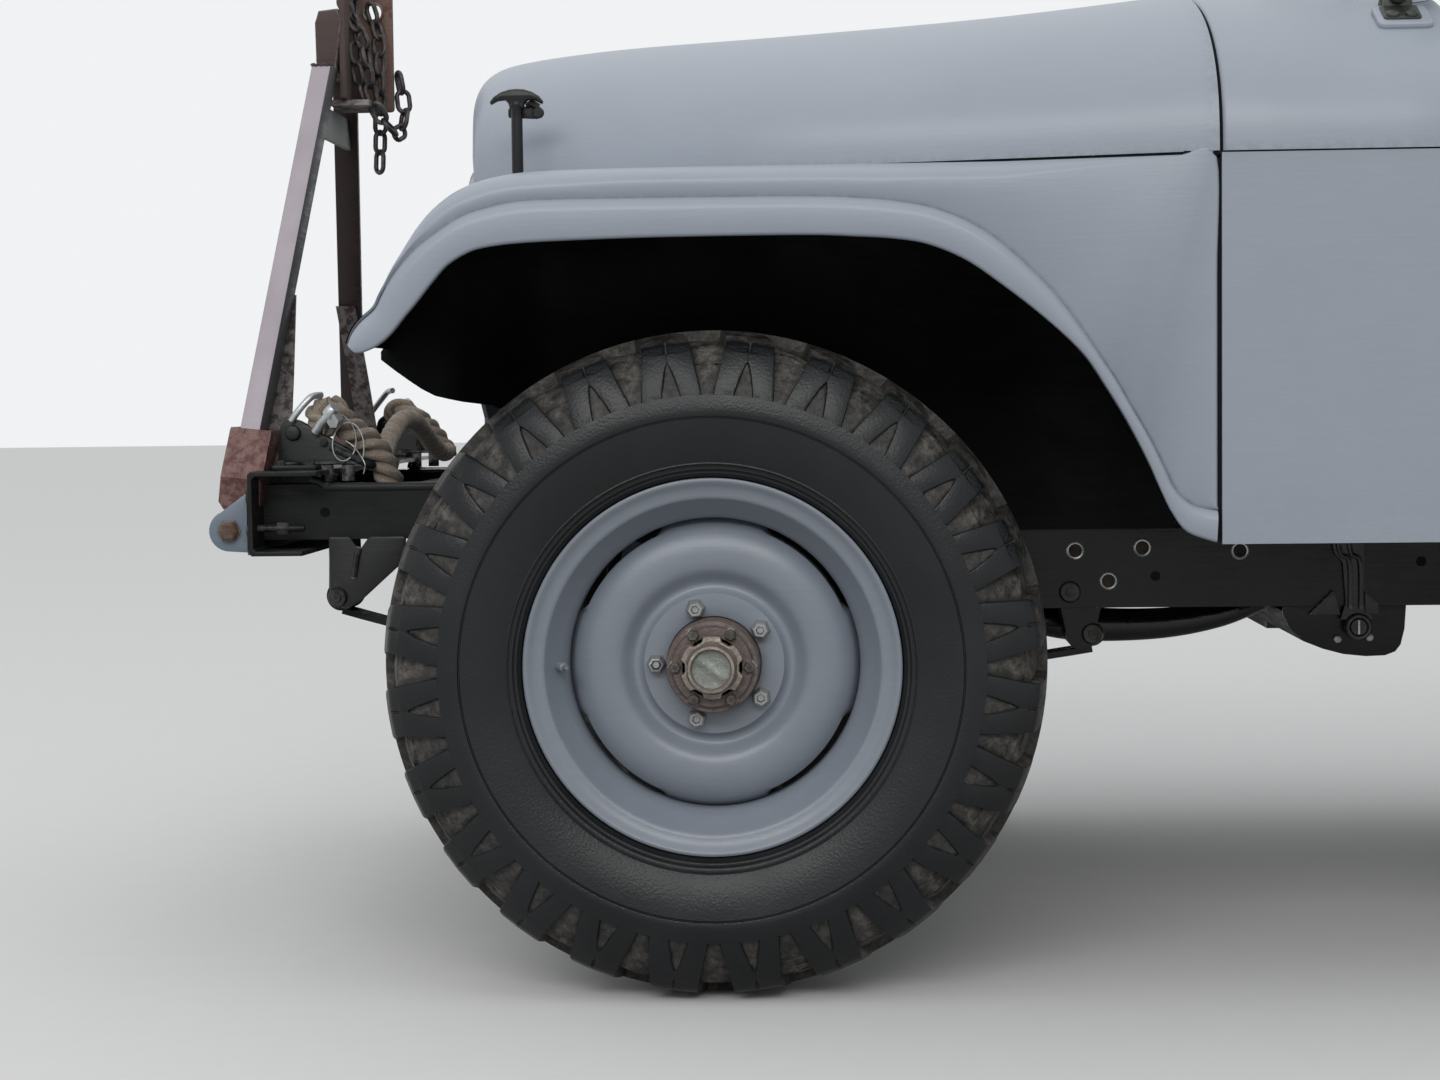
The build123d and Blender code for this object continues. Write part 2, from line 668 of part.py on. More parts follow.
for name, side in (("left", 1), ("right", -1)):
    with BuildPart() as fender:
        with BuildSketch(side_plane(side * fender_half)):
            with BuildLine():
                Polyline(*crest, *arch, close=True)
            make_face()
        extrude(amount=side * fender_wall)
        top_skin = [(x, z - fender_wall) for x, z in crest]
        with BuildSketch(side_plane(side * fender_half)):
            with BuildLine():
                Polyline(*crest, *reversed(top_skin), close=True)
            make_face()
        extrude(amount=side * (fender_half - fender_inner))
        skin_y = side * (fender_half - fender_wall)
        skin_top = fender_top - fender_wall
        with BuildSketch(Plane.YZ.offset(cowl_front_x + 0.3)):
            with BuildLine():
                Polyline(
                    (side * apron_low_y, sill_z), (skin_y, sill_z), (skin_y, skin_top),
                    (side * fender_inner, skin_top), (side * apron_low_y, apron_low_z), close=True)
            make_face()
        extrude(amount=10)
        with BuildSketch(Plane.YZ.offset(cowl_front_x + 3)):
            with BuildLine():
                Polyline(
                    (side * fender_inner, fender_top), (side * (fender_inner + 4), fender_top),
                    (side * (apron_low_y + 4), apron_low_z), (side * apron_low_y, apron_low_z), close=True)
            make_face()
        extrude(amount=grille_x - 0.3 - cowl_front_x - 3)
    keep(fender, f"fender_{name}")

# Hood: three rounded sections lofted from the cowl to the narrow nose, trimmed by the side outline
# and by the bowed front in plan, and hollow below
# X, half width at the bottom, bottom, shoulder half width, shoulder, top
hood_sections = [
    (cowl_front_x + 4, body_half + 3, 1002, body_half - 105, 1164, 1254),
    (front_x - 100, body_half - 112, 1002, body_half - 195, 1136, 1238),
    (front_x + 400, 462, 1002, 425, 1086, 1180),
]
hood_lip_z = 1062.0
hinge_z = 1260.0
hinge_r = 4.0
hinge_half = 60.0


def hood_form(inset):
    shapes = []
    for x, half, low, shoulder, shoulder_z, top in hood_sections:
        with BuildSketch(Plane.YZ.offset(x)) as section:
            with BuildLine():
                right = (-half + inset, low - inset)
                left = (half - inset, low - inset)
                a = Line(right, (-shoulder + inset * 0.8, shoulder_z - inset * 0.6))
                b = ThreePointArc(a @ 1, (0, top - inset), (shoulder - inset * 0.8, shoulder_z - inset * 0.6))
                Line(b @ 1, left)
                Line(left, right)
            make_face()
        shapes.append(section.sketch)
    with BuildPart() as form:
        for shape in shapes:
            add(shape)
        loft(ruled=True)
        with BuildSketch(side_plane(900)):
            with BuildLine():
                Line((cowl_front_x + 3, 900), (cowl_front_x + 3, 1400))
                Line((cowl_front_x + 3, 1400), (front_x + 120, 1400))
                Line((front_x + 120, 1400), (front_x + 120, 1216 - inset))
                over = TangentArc((front_x + 120, 1216 - inset), (hood_nose_x - inset, 1120 - inset / 2),
                                  tangent=(1, -0.06))
                Line(over @ 1, (hood_nose_x - inset, 900))
                Line((hood_nose_x - inset, 900), (cowl_front_x + 3, 900))
            make_face()
        extrude(amount=1800, mode=Mode.INTERSECT)
        with BuildSketch(Plane.XY.offset(900)):
            with BuildLine():
                bow = ThreePointArc((front_x + 300 - inset, -500), (hood_nose_x - inset, 0),
                                    (front_x + 300 - inset, 500))
                Polyline(bow @ 1, (front_x + 290 - inset, 900), (cowl_front_x + 3, 900),
                         (cowl_front_x + 3, -900), (front_x + 290 - inset, -900), bow @ 0)
            make_face()
        extrude(amount=600, mode=Mode.INTERSECT)
    return form.part


hood_outer = hood_form(0)
hood_inner = hood_form(hood_wall)
with BuildPart() as hood:
    add(hood_outer)
    add(hood_inner, mode=Mode.SUBTRACT)
    with Locations((front_x + 330, 0, hood_lip_z - 100)):
        Box(100, 2 * 440, 200, mode=Mode.SUBTRACT)
    with Locations((cowl_front_x + 13, 0, hinge_z - 4)):
        Box(20, hinge_half, 7)
    with Locations((cowl_front_x, 0, hinge_z)):
        Cylinder(hinge_r, hinge_half, rotation=(90, 0, 0))
keep(hood, "hood")

# Grille panel with seven slots, between the fenders
slot_width = 52.0
slot_height = 250.0
grille_foot_y = 372.0
with BuildPart() as grille:
    with BuildSketch(Plane.YZ.offset(grille_x)):
        with BuildLine():
            Polyline(
                (-grille_foot_y, rail_front_top + 0.3), (grille_foot_y, rail_front_top + 0.3),
                (grille_foot_y, 700), (468, 760), (468, 985), (432, 992), (428, 1050),
                (-428, 1050), (-432, 992), (-468, 985), (-468, 760), (-grille_foot_y, 700), close=True)
        make_face()
        with GridLocations(76, 1, 7, 1):
            with Locations((0, 890)):
                SlotOverall(slot_height, slot_width, rotation=90, mode=Mode.SUBTRACT)
    extrude(amount=5)
keep(grille, "grille")

# Cowl: shell from the hood seam back to the windscreen
cowl_points = [
    (body_half - 1, 995), (body_half - 8, 1021), (body_half - 23, 1068), (body_half - 54, 1117),
    (body_half - 109, 1158), (body_half - 219, 1198),
]
ear_plate = 5.0
with BuildPart() as cowl:
    with BuildSketch(Plane.YZ.offset(cowl_rear_x)):
        with BuildLine():
            left = Polyline(*cowl_points)
            top = ThreePointArc(left @ 1, (0, 1248), (219 - body_half, 1198))
            right = Polyline(top @ 1, *[(-y, z) for y, z in reversed(cowl_points[:-1])])
            Line(right @ 1, left @ 0)
        make_face()
        offset(amount=-skin, mode=Mode.SUBTRACT)
        with Locations((0, 990)):
            Rectangle(2 * body_half - 2 * skin - 4, 14 + 2 * skin, mode=Mode.SUBTRACT)
    extrude(amount=cowl_front_x - cowl_rear_x)
    with BuildSketch(Plane.YZ.offset(cowl_front_x - skin)):
        with BuildLine():
            left = Polyline(*cowl_points)
            top = ThreePointArc(left @ 1, (0, 1248), (219 - body_half, 1198))
            right = Polyline(top @ 1, *[(-y, z) for y, z in reversed(cowl_points[:-1])])
            Line(right @ 1, left @ 0)
        make_face()
    extrude(amount=skin)
    for side in (1, -1):
        for across in (1, -1):
            y = side * screen_arm_y + across * (screen_arm_wall / 2 + 0.5 + ear_plate / 2)
            with BuildSketch(side_plane(y + ear_plate / 2)):
                with BuildLine():
                    Polyline((screen_pivot_x - 22, 1150), (screen_pivot_x + 24, 1150),
                             (screen_pivot_x + 13, screen_pivot_z), (screen_pivot_x - 13, screen_pivot_z),
                             close=True)
                make_face()
                with Locations((screen_pivot_x, screen_pivot_z)):
                    Circle(13)
            extrude(amount=ear_plate)
        with BuildSketch(side_plane(side * screen_arm_y + screen_arm_wall)):
            with Locations((screen_pivot_x, screen_pivot_z)):
                Circle(screen_pin_r)
        extrude(amount=2 * screen_arm_wall)
        with Locations((cowl_front_x - 11, side * (hinge_half * 0.75 + 0.3), hinge_z - 7)):
            Box(22, hinge_half / 2, 12)
        with Locations((cowl_front_x, side * (hinge_half * 0.75 + 0.3), hinge_z)):
            Cylinder(hinge_r, hinge_half / 2, rotation=(90, 0, 0))
keep(cowl, "cowl")

column_r = 24.0
wheel_centre = Vector(front_x - 1235, 360, 1235)
column_foot = Vector(front_x - 394, 330, rail_mid_top + 60.3)
column_line = wheel_centre - column_foot
column_axis = column_line.normalized()

# Tub: sides with door openings, floor, firewall, wheelhouses and rear panel
side_line = [
    (cowl_front_x, sill_z), (cowl_front_x, 994.7), (door_front_x - 4, 994.7),
    (door_front_x - 30, 900), (door_front_x - 80, 800), (door_front_x - 170, door_low),
    (door_rear_x + 130, door_low), (door_rear_x + 60, 780), (door_rear_x + 20, 880),
    (door_rear_x - 30, 970), (door_rear_x - 110, side_top), (tub_rear_x, side_top),
    (tub_rear_x, 620), (rear_x - 400, 600), (rear_x - 330, 700), (rear_x - 240, 800), (rear_x - 120, 850),
    (rear_x + 120, 850), (rear_x + 240, 800), (rear_x + 350, 700), (rear_x + 430, sill_z),
]
floor_step_x = wheelhouse_x - skin
with BuildPart() as tub:
    for side in (1, -1):
        with BuildSketch(side_plane(side * body_half)):
            with BuildLine():
                Polyline(*side_line, close=True)
            make_face()
        extrude(amount=side * skin)
        with BuildSketch(side_plane(side * (body_half - skin))):
            with BuildLine():
                Polyline((wheelhouse_x, floor_z), (wheelhouse_x, wheelhouse_top),
                         (tub_rear_x, wheelhouse_top), (tub_rear_x, floor_z), close=True)
            make_face()
            with BuildLine():
                Polyline((wheelhouse_x - skin, floor_z - 1), (wheelhouse_x - skin, wheelhouse_top - skin),
                         (tub_rear_x, wheelhouse_top - skin), (tub_rear_x, floor_z - 1), close=True)
            make_face(mode=Mode.SUBTRACT)
        extrude(amount=side * (body_half - skin - wheelhouse_y))
        with BuildSketch(side_plane(side * (wheelhouse_y + skin))):
            with BuildLine():
                Polyline((wheelhouse_x, floor_z), (wheelhouse_x, wheelhouse_top),
                         (tub_rear_x, wheelhouse_top), (tub_rear_x, floor_z), close=True)
            make_face()
        extrude(amount=side * skin)
    with BuildSketch(Plane.XY.offset(floor_z - floor_wall)):
        with BuildLine():
            Polyline(
                (cowl_front_x, -body_half + 1), (cowl_front_x, body_half - 1),
                (floor_step_x, body_half - 1), (floor_step_x, wheelhouse_y + skin), (tub_rear_x, wheelhouse_y + skin),
                (tub_rear_x, -wheelhouse_y - skin), (floor_step_x, -wheelhouse_y - skin),
                (floor_step_x, -body_half + 1), close=True)
        make_face()
    extrude(amount=floor_wall)
    with BuildSketch(Plane.YZ.offset(tub_rear_x)):
        with Locations((0, (side_top + 620) / 2)):
            Rectangle(2 * body_half, side_top - 620)
    extrude(amount=skin)
    with BuildSketch(Plane.YZ.offset(tub_rear_x)):
        with Locations((0, (floor_z + 620) / 2)):
            Rectangle(2 * wheelhouse_y + 2 * skin, 620 - floor_z + 2 * floor_wall)
    extrude(amount=skin)
    with BuildSketch(Plane.YZ.offset(cowl_front_x - skin)):
        with Locations((0, (floor_z + 994) / 2)):
            Rectangle(2 * body_half - 2, 994 - floor_z)
    extrude(amount=skin)
    add(rod(tuple(column_foot), tuple(wheel_centre), column_r + 8), mode=Mode.SUBTRACT)
keep(tub, "tub")

# Windscreen: frame with a middle bar, its two arms and pivots
with BuildPart() as screen_frame:
    with BuildSketch(Plane.YZ.offset(screen_plane_x - screen_depth / 2)):
        with Locations((0, (screen_low + screen_high) / 2)):
            RectangleRounded(2 * screen_half, screen_high - screen_low, 40)
        with GridLocations(screen_half, 1, 2, 1):
            with Locations((0, (screen_low + screen_high) / 2)):
                RectangleRounded(screen_half - 1.5 * screen_bar, screen_high - screen_low - 2 * screen_bar, 20,
                                 mode=Mode.SUBTRACT)
    extrude(amount=screen_depth)
    for side in (1, -1):
        with BuildSketch(side_plane(side * screen_arm_y + screen_arm_wall / 2)):
            with BuildLine():
                Polyline(
                    (screen_pivot_x + 4, screen_pivot_z - 12), (screen_pivot_x + 6, screen_pivot_z + 12),
                    (screen_plane_x + screen_depth / 2, screen_low + 70),
                    (screen_plane_x + screen_depth / 2, screen_low + 6),
                    (screen_pivot_x - 40, screen_pivot_z - 6), close=True)
            make_face()
            with Locations((screen_pivot_x, screen_pivot_z)):
                Circle(12)
                Circle(screen_pin_r + 0.3, mode=Mode.SUBTRACT)
        extrude(amount=screen_arm_wall)
keep(screen_frame, "windscreen_frame")

with BuildPart() as glass:
    with BuildSketch(Plane.YZ.offset(screen_plane_x - glass_wall / 2)):
        with GridLocations(screen_half, 1, 2, 1):
            with Locations((0, (screen_low + screen_high) / 2)):
                RectangleRounded(screen_half - 1.5 * screen_bar - 0.6,
                                 screen_high - screen_low - 2 * screen_bar - 0.6, 20)
    extrude(amount=glass_wall)
keep(glass, "windscreen_glass")

# Lamps: headlamp shells and lenses behind the grille panel's face, markers and tail lamps
headlamp_y = 372.0
headlamp_z = 930.0
headlamp_r = 88.0
with BuildPart() as headlamps:
    for side in (1, -1):
        with BuildSketch(Plane.YZ.offset(grille_x + 5)):
            with Locations((side * headlamp_y, headlamp_z)):
                Circle(headlamp_r)
        extrude(amount=34)
keep(headlamps, "headlamps")

lamp_y = 690.0
lamp_z = 690.0
with BuildPart() as tail_lamps:
    for side in (1, -1):
        with BuildSketch(Plane.YZ.offset(tub_rear_x)):
            with Locations((side * lamp_y, lamp_z)):
                Circle(38)
        extrude(amount=-48)
keep(tail_lamps, "tail_lamps")

# Rear bumperettes, pintle hook and the spare wheel's carrier on the rear panel
with BuildPart() as bumperettes:
    for side in (1, -1):
        with Locations((tub_rear_x - 57.5, side * 420, 510)):
            Box(115, 190, 100)
keep(bumperettes, "bumperettes")

with BuildPart() as pintle_hook:
    with Locations((tub_rear_x - 30, 0, 548)):
        Box(60, 120, 90)
        Cylinder(28, 60, rotation=(90, 0, 0))
keep(pintle_hook, "pintle_hook")

carrier_reach = tub_rear_x - (spare_x - disc_face + disc_wall)
with BuildPart() as spare_carrier:
    with BuildSketch(Plane(origin=(tub_rear_x, spare_y, spare_z), z_dir=(-1, 0, 0))):
        Circle(84)
    extrude(amount=carrier_reach - 0.3)
keep(spare_carrier, "spare_carrier")

# Steering column with its box, and the steering wheel
running_gap = 0.3
column_end = 32.0
steer_shaft_r = 10.0
steer_shaft_end = 7.0
with BuildPart() as steering_column:
    add(rod(tuple(column_foot), tuple(wheel_centre - column_axis * column_end), column_r))
    add(rod(tuple(column_foot), tuple(wheel_centre - column_axis * steer_shaft_end), steer_shaft_r))
    with Locations(tuple(column_foot)):
        Box(110, 62, 120)
keep(steering_column, "steering_column")

hand_wheel_r = 216.0
hand_rim_r = 11.0
spoke_r = 6.5
wheel_hub_r = 30.0
wheel_hub_top = 14.0
hub_plane = Plane(origin=wheel_centre, z_dir=column_axis)
with BuildPart() as steering_wheel:
    with BuildSketch(hub_plane.offset(running_gap - column_end)):
        Circle(wheel_hub_r)
    extrude(amount=column_end + wheel_hub_top)
    with BuildSketch(hub_plane.offset(running_gap - column_end)):
        Circle(steer_shaft_r + running_gap)
    extrude(amount=column_end - steer_shaft_end, mode=Mode.SUBTRACT)
    for turn in (0, 120, 240):
        spoke = hub_plane.x_dir.rotate(Axis((0, 0, 0), column_axis), turn)
        add(rod(tuple(wheel_centre + spoke * 20), tuple(wheel_centre + spoke * hand_wheel_r), spoke_r))
    with BuildSketch(Plane(origin=wheel_centre, x_dir=hub_plane.x_dir, z_dir=hub_plane.y_dir)):
        with Locations((hand_wheel_r, 0)):
            Circle(hand_rim_r)
    revolve(axis=Axis(wheel_centre, column_axis))
keep(steering_wheel, "steering_wheel")

# Seats
# name, Y
back_x = front_x - 1571.0
seats = [("driver_seat", body_half - 385), ("passenger_seat", 385 - body_half)]
seat_pin_r = 9.7
seat_front = front_x - 1175.0
seat_length = 400.0
seat_width = 430.0
seat_top = 850.0
for name, y in seats:
    with BuildPart() as cushion:
        with Locations((seat_front - seat_length / 2, y, seat_top - 45)):
            Box(seat_length, seat_width, 90)
        with BuildSketch(side_plane(y + seat_width / 2)):
            with BuildLine():
                Polyline(
                    (back_x, seat_top + 35), (back_x - 76, seat_top + 385), (back_x - 144, seat_top + 372),
                    (back_x - 68, seat_top + 25), close=True)
            make_face()
        extrude(amount=seat_width)
    keep(cushion, f"{name}_cushions")
    with BuildPart() as seat_frame:
        for side in (1, -1):
            with BuildSketch(side_plane(y + side * (seat_width / 2 - 30) + 12)):
                with BuildLine():
                    Polyline(
                        (seat_front - 19, floor_z + 10), (seat_front - 1, floor_z + 10),
                        (seat_front - 10, seat_top - 90.3),
                        (seat_front - seat_length - 42, seat_top - 90.3),
                        (seat_front - seat_length - 42, floor_z), (seat_front - seat_length - 22, floor_z),
                        (seat_front - seat_length - 22, seat_top - 112),
                        (seat_front - 30, seat_top - 112), close=True)
                make_face()
                with Locations((seat_front - 10, floor_z + 10)):
                    Circle(seat_pin_r)
                with BuildLine():
                    Polyline(
                        (seat_front - seat_length - 20, seat_top - 112),
                        (seat_front - seat_length - 42, seat_top - 112),
                        (back_x - 94, seat_top + 22), (back_x - 164, seat_top + 340),
                        (back_x - 138, seat_top + 340), (back_x - 68.4, seat_top + 22), close=True)
                make_face()
            extrude(amount=24)
    keep(seat_frame, f"{name}_frame")

bench_front = rear_x + 40.0
with BuildPart() as bench_cushions:
    with Locations((bench_front - 190, 0, 905)):
        Box(380, 820, 80)
    with Locations((bench_front - 415, 0, 1080)):
        Box(70, 820, 300)
keep(bench_cushions, "rear_seat_cushions")

with BuildPart() as bench_frame:
    for side in (1, -1):
        with Locations((bench_front - 30, side * 380, (floor_z + 864.7) / 2), (bench_front - 350, side * 380, (floor_z + 864.7) / 2)):
            Box(25, 25, 864.7 - floor_z)
keep(bench_frame, "rear_seat_frame")
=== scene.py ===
import math
import bmesh
import bpy
import numpy as np
from mathutils import Matrix, Vector


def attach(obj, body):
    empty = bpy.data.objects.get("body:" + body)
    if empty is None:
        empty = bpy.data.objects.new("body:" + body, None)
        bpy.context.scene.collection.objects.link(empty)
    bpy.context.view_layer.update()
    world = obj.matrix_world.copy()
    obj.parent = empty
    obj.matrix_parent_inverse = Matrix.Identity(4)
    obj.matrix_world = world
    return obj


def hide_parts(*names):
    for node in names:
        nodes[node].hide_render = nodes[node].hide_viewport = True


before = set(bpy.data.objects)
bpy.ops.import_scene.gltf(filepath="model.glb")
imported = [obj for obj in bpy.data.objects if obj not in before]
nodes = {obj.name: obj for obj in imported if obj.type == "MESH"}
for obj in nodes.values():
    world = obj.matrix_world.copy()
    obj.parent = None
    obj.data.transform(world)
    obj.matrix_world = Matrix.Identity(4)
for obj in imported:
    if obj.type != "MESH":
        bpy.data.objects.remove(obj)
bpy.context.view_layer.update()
scene = bpy.context.scene
print("frame loaded with", len(nodes), "nodes")

frontX, rearX = 1.12, -0.937    # the axles
wheelY, wheelR = 0.6235, 0.402
boltCircle = 0.06985    # radius on which the five wheel nuts stand
sideNames = {1: "left", -1: "right"}
squareCorners = ((-1, -1), (1, -1), (1, 1), (-1, 1))
tau = 2 * math.pi

# Camera, where the photographer stood: level, three and a half metres off the left front wheel
viewpoint = {"place": (0.958, 3.639, 0.722), "yaw": 0.051, "pitch": 0.0567, "roll": -0.0123, "lens": 62.36}


def makeCamera(v):
    ahead = Vector((math.sin(v["yaw"]) * math.cos(v["pitch"]), -math.cos(v["yaw"]) * math.cos(v["pitch"]),
                    -math.sin(v["pitch"])))
    right = ahead.cross(Vector((0, 0, 1))).normalized()
    up = right.cross(ahead)
    c, s = math.cos(v["roll"]), math.sin(v["roll"])
    right, up = c * right + s * up, c * up - s * right
    data = bpy.data.cameras.new("camera")
    data.lens, data.sensor_width, data.clip_start = v["lens"], 36.0, 0.05
    camera = bpy.data.objects.new("camera", data)
    scene.collection.objects.link(camera)
    camera.matrix_world = Matrix.Translation(v["place"]) @ Matrix((right, up, -ahead)).transposed().to_4x4()
    scene.camera = camera


makeCamera(viewpoint)
scene.view_settings.view_transform = "Standard"
print("camera made")


# Node helpers
def newNode(tree, kind, inputs=None, **settings):
    made = tree.nodes.new("ShaderNode" + kind)
    for key, value in settings.items():
        setattr(made, key, value)
    for key, value in (inputs or {}).items():
        if isinstance(value, bpy.types.NodeSocket):
            tree.links.new(value, made.inputs[key])
        else:
            made.inputs[key].default_value = value
    return made


def colour4(c):
    return (c[0], c[1], c[2], 1.0)


def mixed(tree, factor, a, b, blend="MIX"):
    return newNode(tree, "Mix", {0: factor, 6: a, 7: b}, data_type="RGBA", blend_type=blend).outputs[2]


def maths(tree, operation, a, b=0.0, clamp=False):
    return newNode(tree, "Math", {0: a, 1: b}, operation=operation, use_clamp=clamp).outputs[0]


def spread(tree, value, low, high, to0=0.0, to1=1.0):
    return newNode(tree, "MapRange", {0: value, 1: low, 2: high, 3: to0, 4: to1}).outputs[0]


def noise(tree, where, scale, detail=4.0, rough=0.55):
    return newNode(tree, "TexNoise",
                   {"Vector": where, "Scale": scale, "Detail": detail, "Roughness": rough}).outputs[0]


def scaled(tree, where, scale):
    return newNode(tree, "Mapping", {0: where, 3: scale}).outputs[0]


def bumped(tree, shader, height, distance, strength):
    bump = newNode(tree, "Bump", {"Height": height, "Distance": distance, "Strength": strength})
    tree.links.new(bump.outputs[0], shader.inputs["Normal"])


def makeGroup(name, inputs, outputs):
    group = bpy.data.node_groups.new(name, "ShaderNodeTree")
    for label, kind, value in inputs:
        socket = group.interface.new_socket(name=label, in_out="INPUT", socket_type="NodeSocket" + kind)
        if value is not None:
            socket.default_value = value
    for label, kind in outputs:
        group.interface.new_socket(name=label, in_out="OUTPUT", socket_type="NodeSocket" + kind)
    return group, group.nodes.new("NodeGroupInput").outputs, group.nodes.new("NodeGroupOutput").inputs


def brushGroup():
    # hand paint: broad uneven patches, long brush strokes along the car, and a fine skin
    g, given, out = makeGroup(
        "handPaint", [("Vector", "Vector", None), ("Patch", "Float", 0.06), ("Stroke", "Float", 0.03)],
        [("Tone", "Float"), ("Height", "Float")])
    patch = spread(g, noise(g, given[0], 2.2, 3.0), 0.3, 0.7, -1.0, 1.0)
    stroke = spread(g, noise(g, scaled(g, given[0], (6, 6, 90)), 3.0, 3.0), 0.3, 0.7, -1.0, 1.0)
    cloud = spread(g, noise(g, given[0], 14.0, 5.0), 0.3, 0.7, -0.4, 0.4)
    tone = maths(g, "ADD", maths(g, "MULTIPLY", maths(g, "ADD", patch, cloud), given[1]),
                 maths(g, "MULTIPLY", stroke, given[2]))
    g.links.new(maths(g, "ADD", tone, 1.0), out[0])
    skin = noise(g, given[0], 260.0, 2.0)
    g.links.new(maths(g, "ADD", maths(g, "MULTIPLY", stroke, 0.25), skin), out[1])
    return g


def rustGroup():
    # rust: patches broken up by finer noise, with their own two browns and pits
    g, given, out = makeGroup(
        "rust", [("Vector", "Vector", None), ("Scale", "Float", 12.0), ("Amount", "Float", 0.3)],
        [("Mask", "Float"), ("Colour", "Color"), ("Height", "Float")])
    broad = newNode(g, "TexNoise", {"Vector": given[0], "Scale": given[1], "Detail": 6.0,
                                    "Roughness": 0.65}).outputs[0]
    fine = noise(g, given[0], 160.0, 4.0, 0.7)
    level = maths(g, "ADD", maths(g, "MULTIPLY", broad, 0.8), maths(g, "MULTIPLY", fine, 0.2))
    edge = maths(g, "SUBTRACT", 0.78, maths(g, "MULTIPLY", given[2], 0.55))
    mask = spread(g, maths(g, "SUBTRACT", level, edge), -0.02, 0.07)
    g.links.new(mask, out[0])
    g.links.new(mixed(g, spread(g, fine, 0.35, 0.65), (0.045, 0.022, 0.015, 1), (0.17, 0.065, 0.033, 1)),
                out[1])
    g.links.new(maths(g, "MULTIPLY", fine, mask), out[2])
    return g


def grimeGroup():
    # dried mud and dust: where the piece's own grime attribute says, and low down, broken by noise
    g, given, out = makeGroup(
        "grimeAndShade", [("Vector", "Vector", None), ("Amount", "Float", 0.3), ("Low", "Float", 0.3),
                  ("High", "Float", 0.7)], [("Mask", "Float"), ("Height", "Float")])
    own = newNode(g, "Attribute", attribute_name="grimeAndShade").outputs["Fac"]
    high = newNode(g, "SeparateXYZ", {0: given[0]}).outputs[2]
    low = newNode(g, "MapRange", {0: high, 1: given[2], 2: given[3], 3: 1.0, 4: 0.0}).outputs[0]
    broken = spread(g, noise(g, given[0], 38.0, 7.0, 0.7), 0.34, 0.62)
    speck = noise(g, given[0], 420.0, 3.0, 0.7)
    crumbs = maths(g, "ADD", maths(g, "MULTIPLY", broken, 0.75), maths(g, "MULTIPLY", speck, 0.3))
    wet = maths(g, "MULTIPLY", crumbs, maths(g, "ADD", own, maths(g, "MULTIPLY", low, given[1])), True)
    g.links.new(wet, out[0])
    g.links.new(maths(g, "MULTIPLY", wet, maths(g, "ADD", broken, speck)), out[1])
    return g


def wearAndHighlightGroup():
    # worn edges and painted edge highlights: the piece's edge attribute, broken by noise
    g, given, out = makeGroup("edgeWearAndHighlight", [("Vector", "Vector", None), ("Amount", "Float", 0.5)],
                              [("Mask", "Float")])
    edge = newNode(g, "Attribute", attribute_name="wearAndHighlight").outputs["Fac"]
    chips = spread(g, noise(g, given[0], 70.0, 5.0, 0.7), 0.42, 0.58)
    g.links.new(maths(g, "MULTIPLY", maths(g, "MULTIPLY", spread(g, edge, 0.04, 0.3), chips), given[1],
                      True), out[0])
    return g


groups = {"brush": brushGroup(), "rust": rustGroup(), "grimeAndShade": grimeGroup(), "wearAndHighlight": wearAndHighlightGroup()}


def placed(tree, which, inputs):
    made = tree.nodes.new("ShaderNodeGroup")
    made.node_tree = groups[which]
    for key, value in inputs.items():
        if isinstance(value, bpy.types.NodeSocket):
            tree.links.new(value, made.inputs[key])
        else:
            made.inputs[key].default_value = value
    return made.outputs


def blank(name):
    made = bpy.data.materials.new(name)
    made.use_nodes = True
    tree = made.node_tree
    tree.nodes.clear()
    end = tree.nodes.new("ShaderNodeOutputMaterial")
    shader = tree.nodes.new("ShaderNodeBsdfPrincipled")
    tree.links.new(shader.outputs[0], end.inputs[0])
    where = tree.nodes.new("ShaderNodeTexCoord").outputs["Object"]
    return made, tree, shader, where


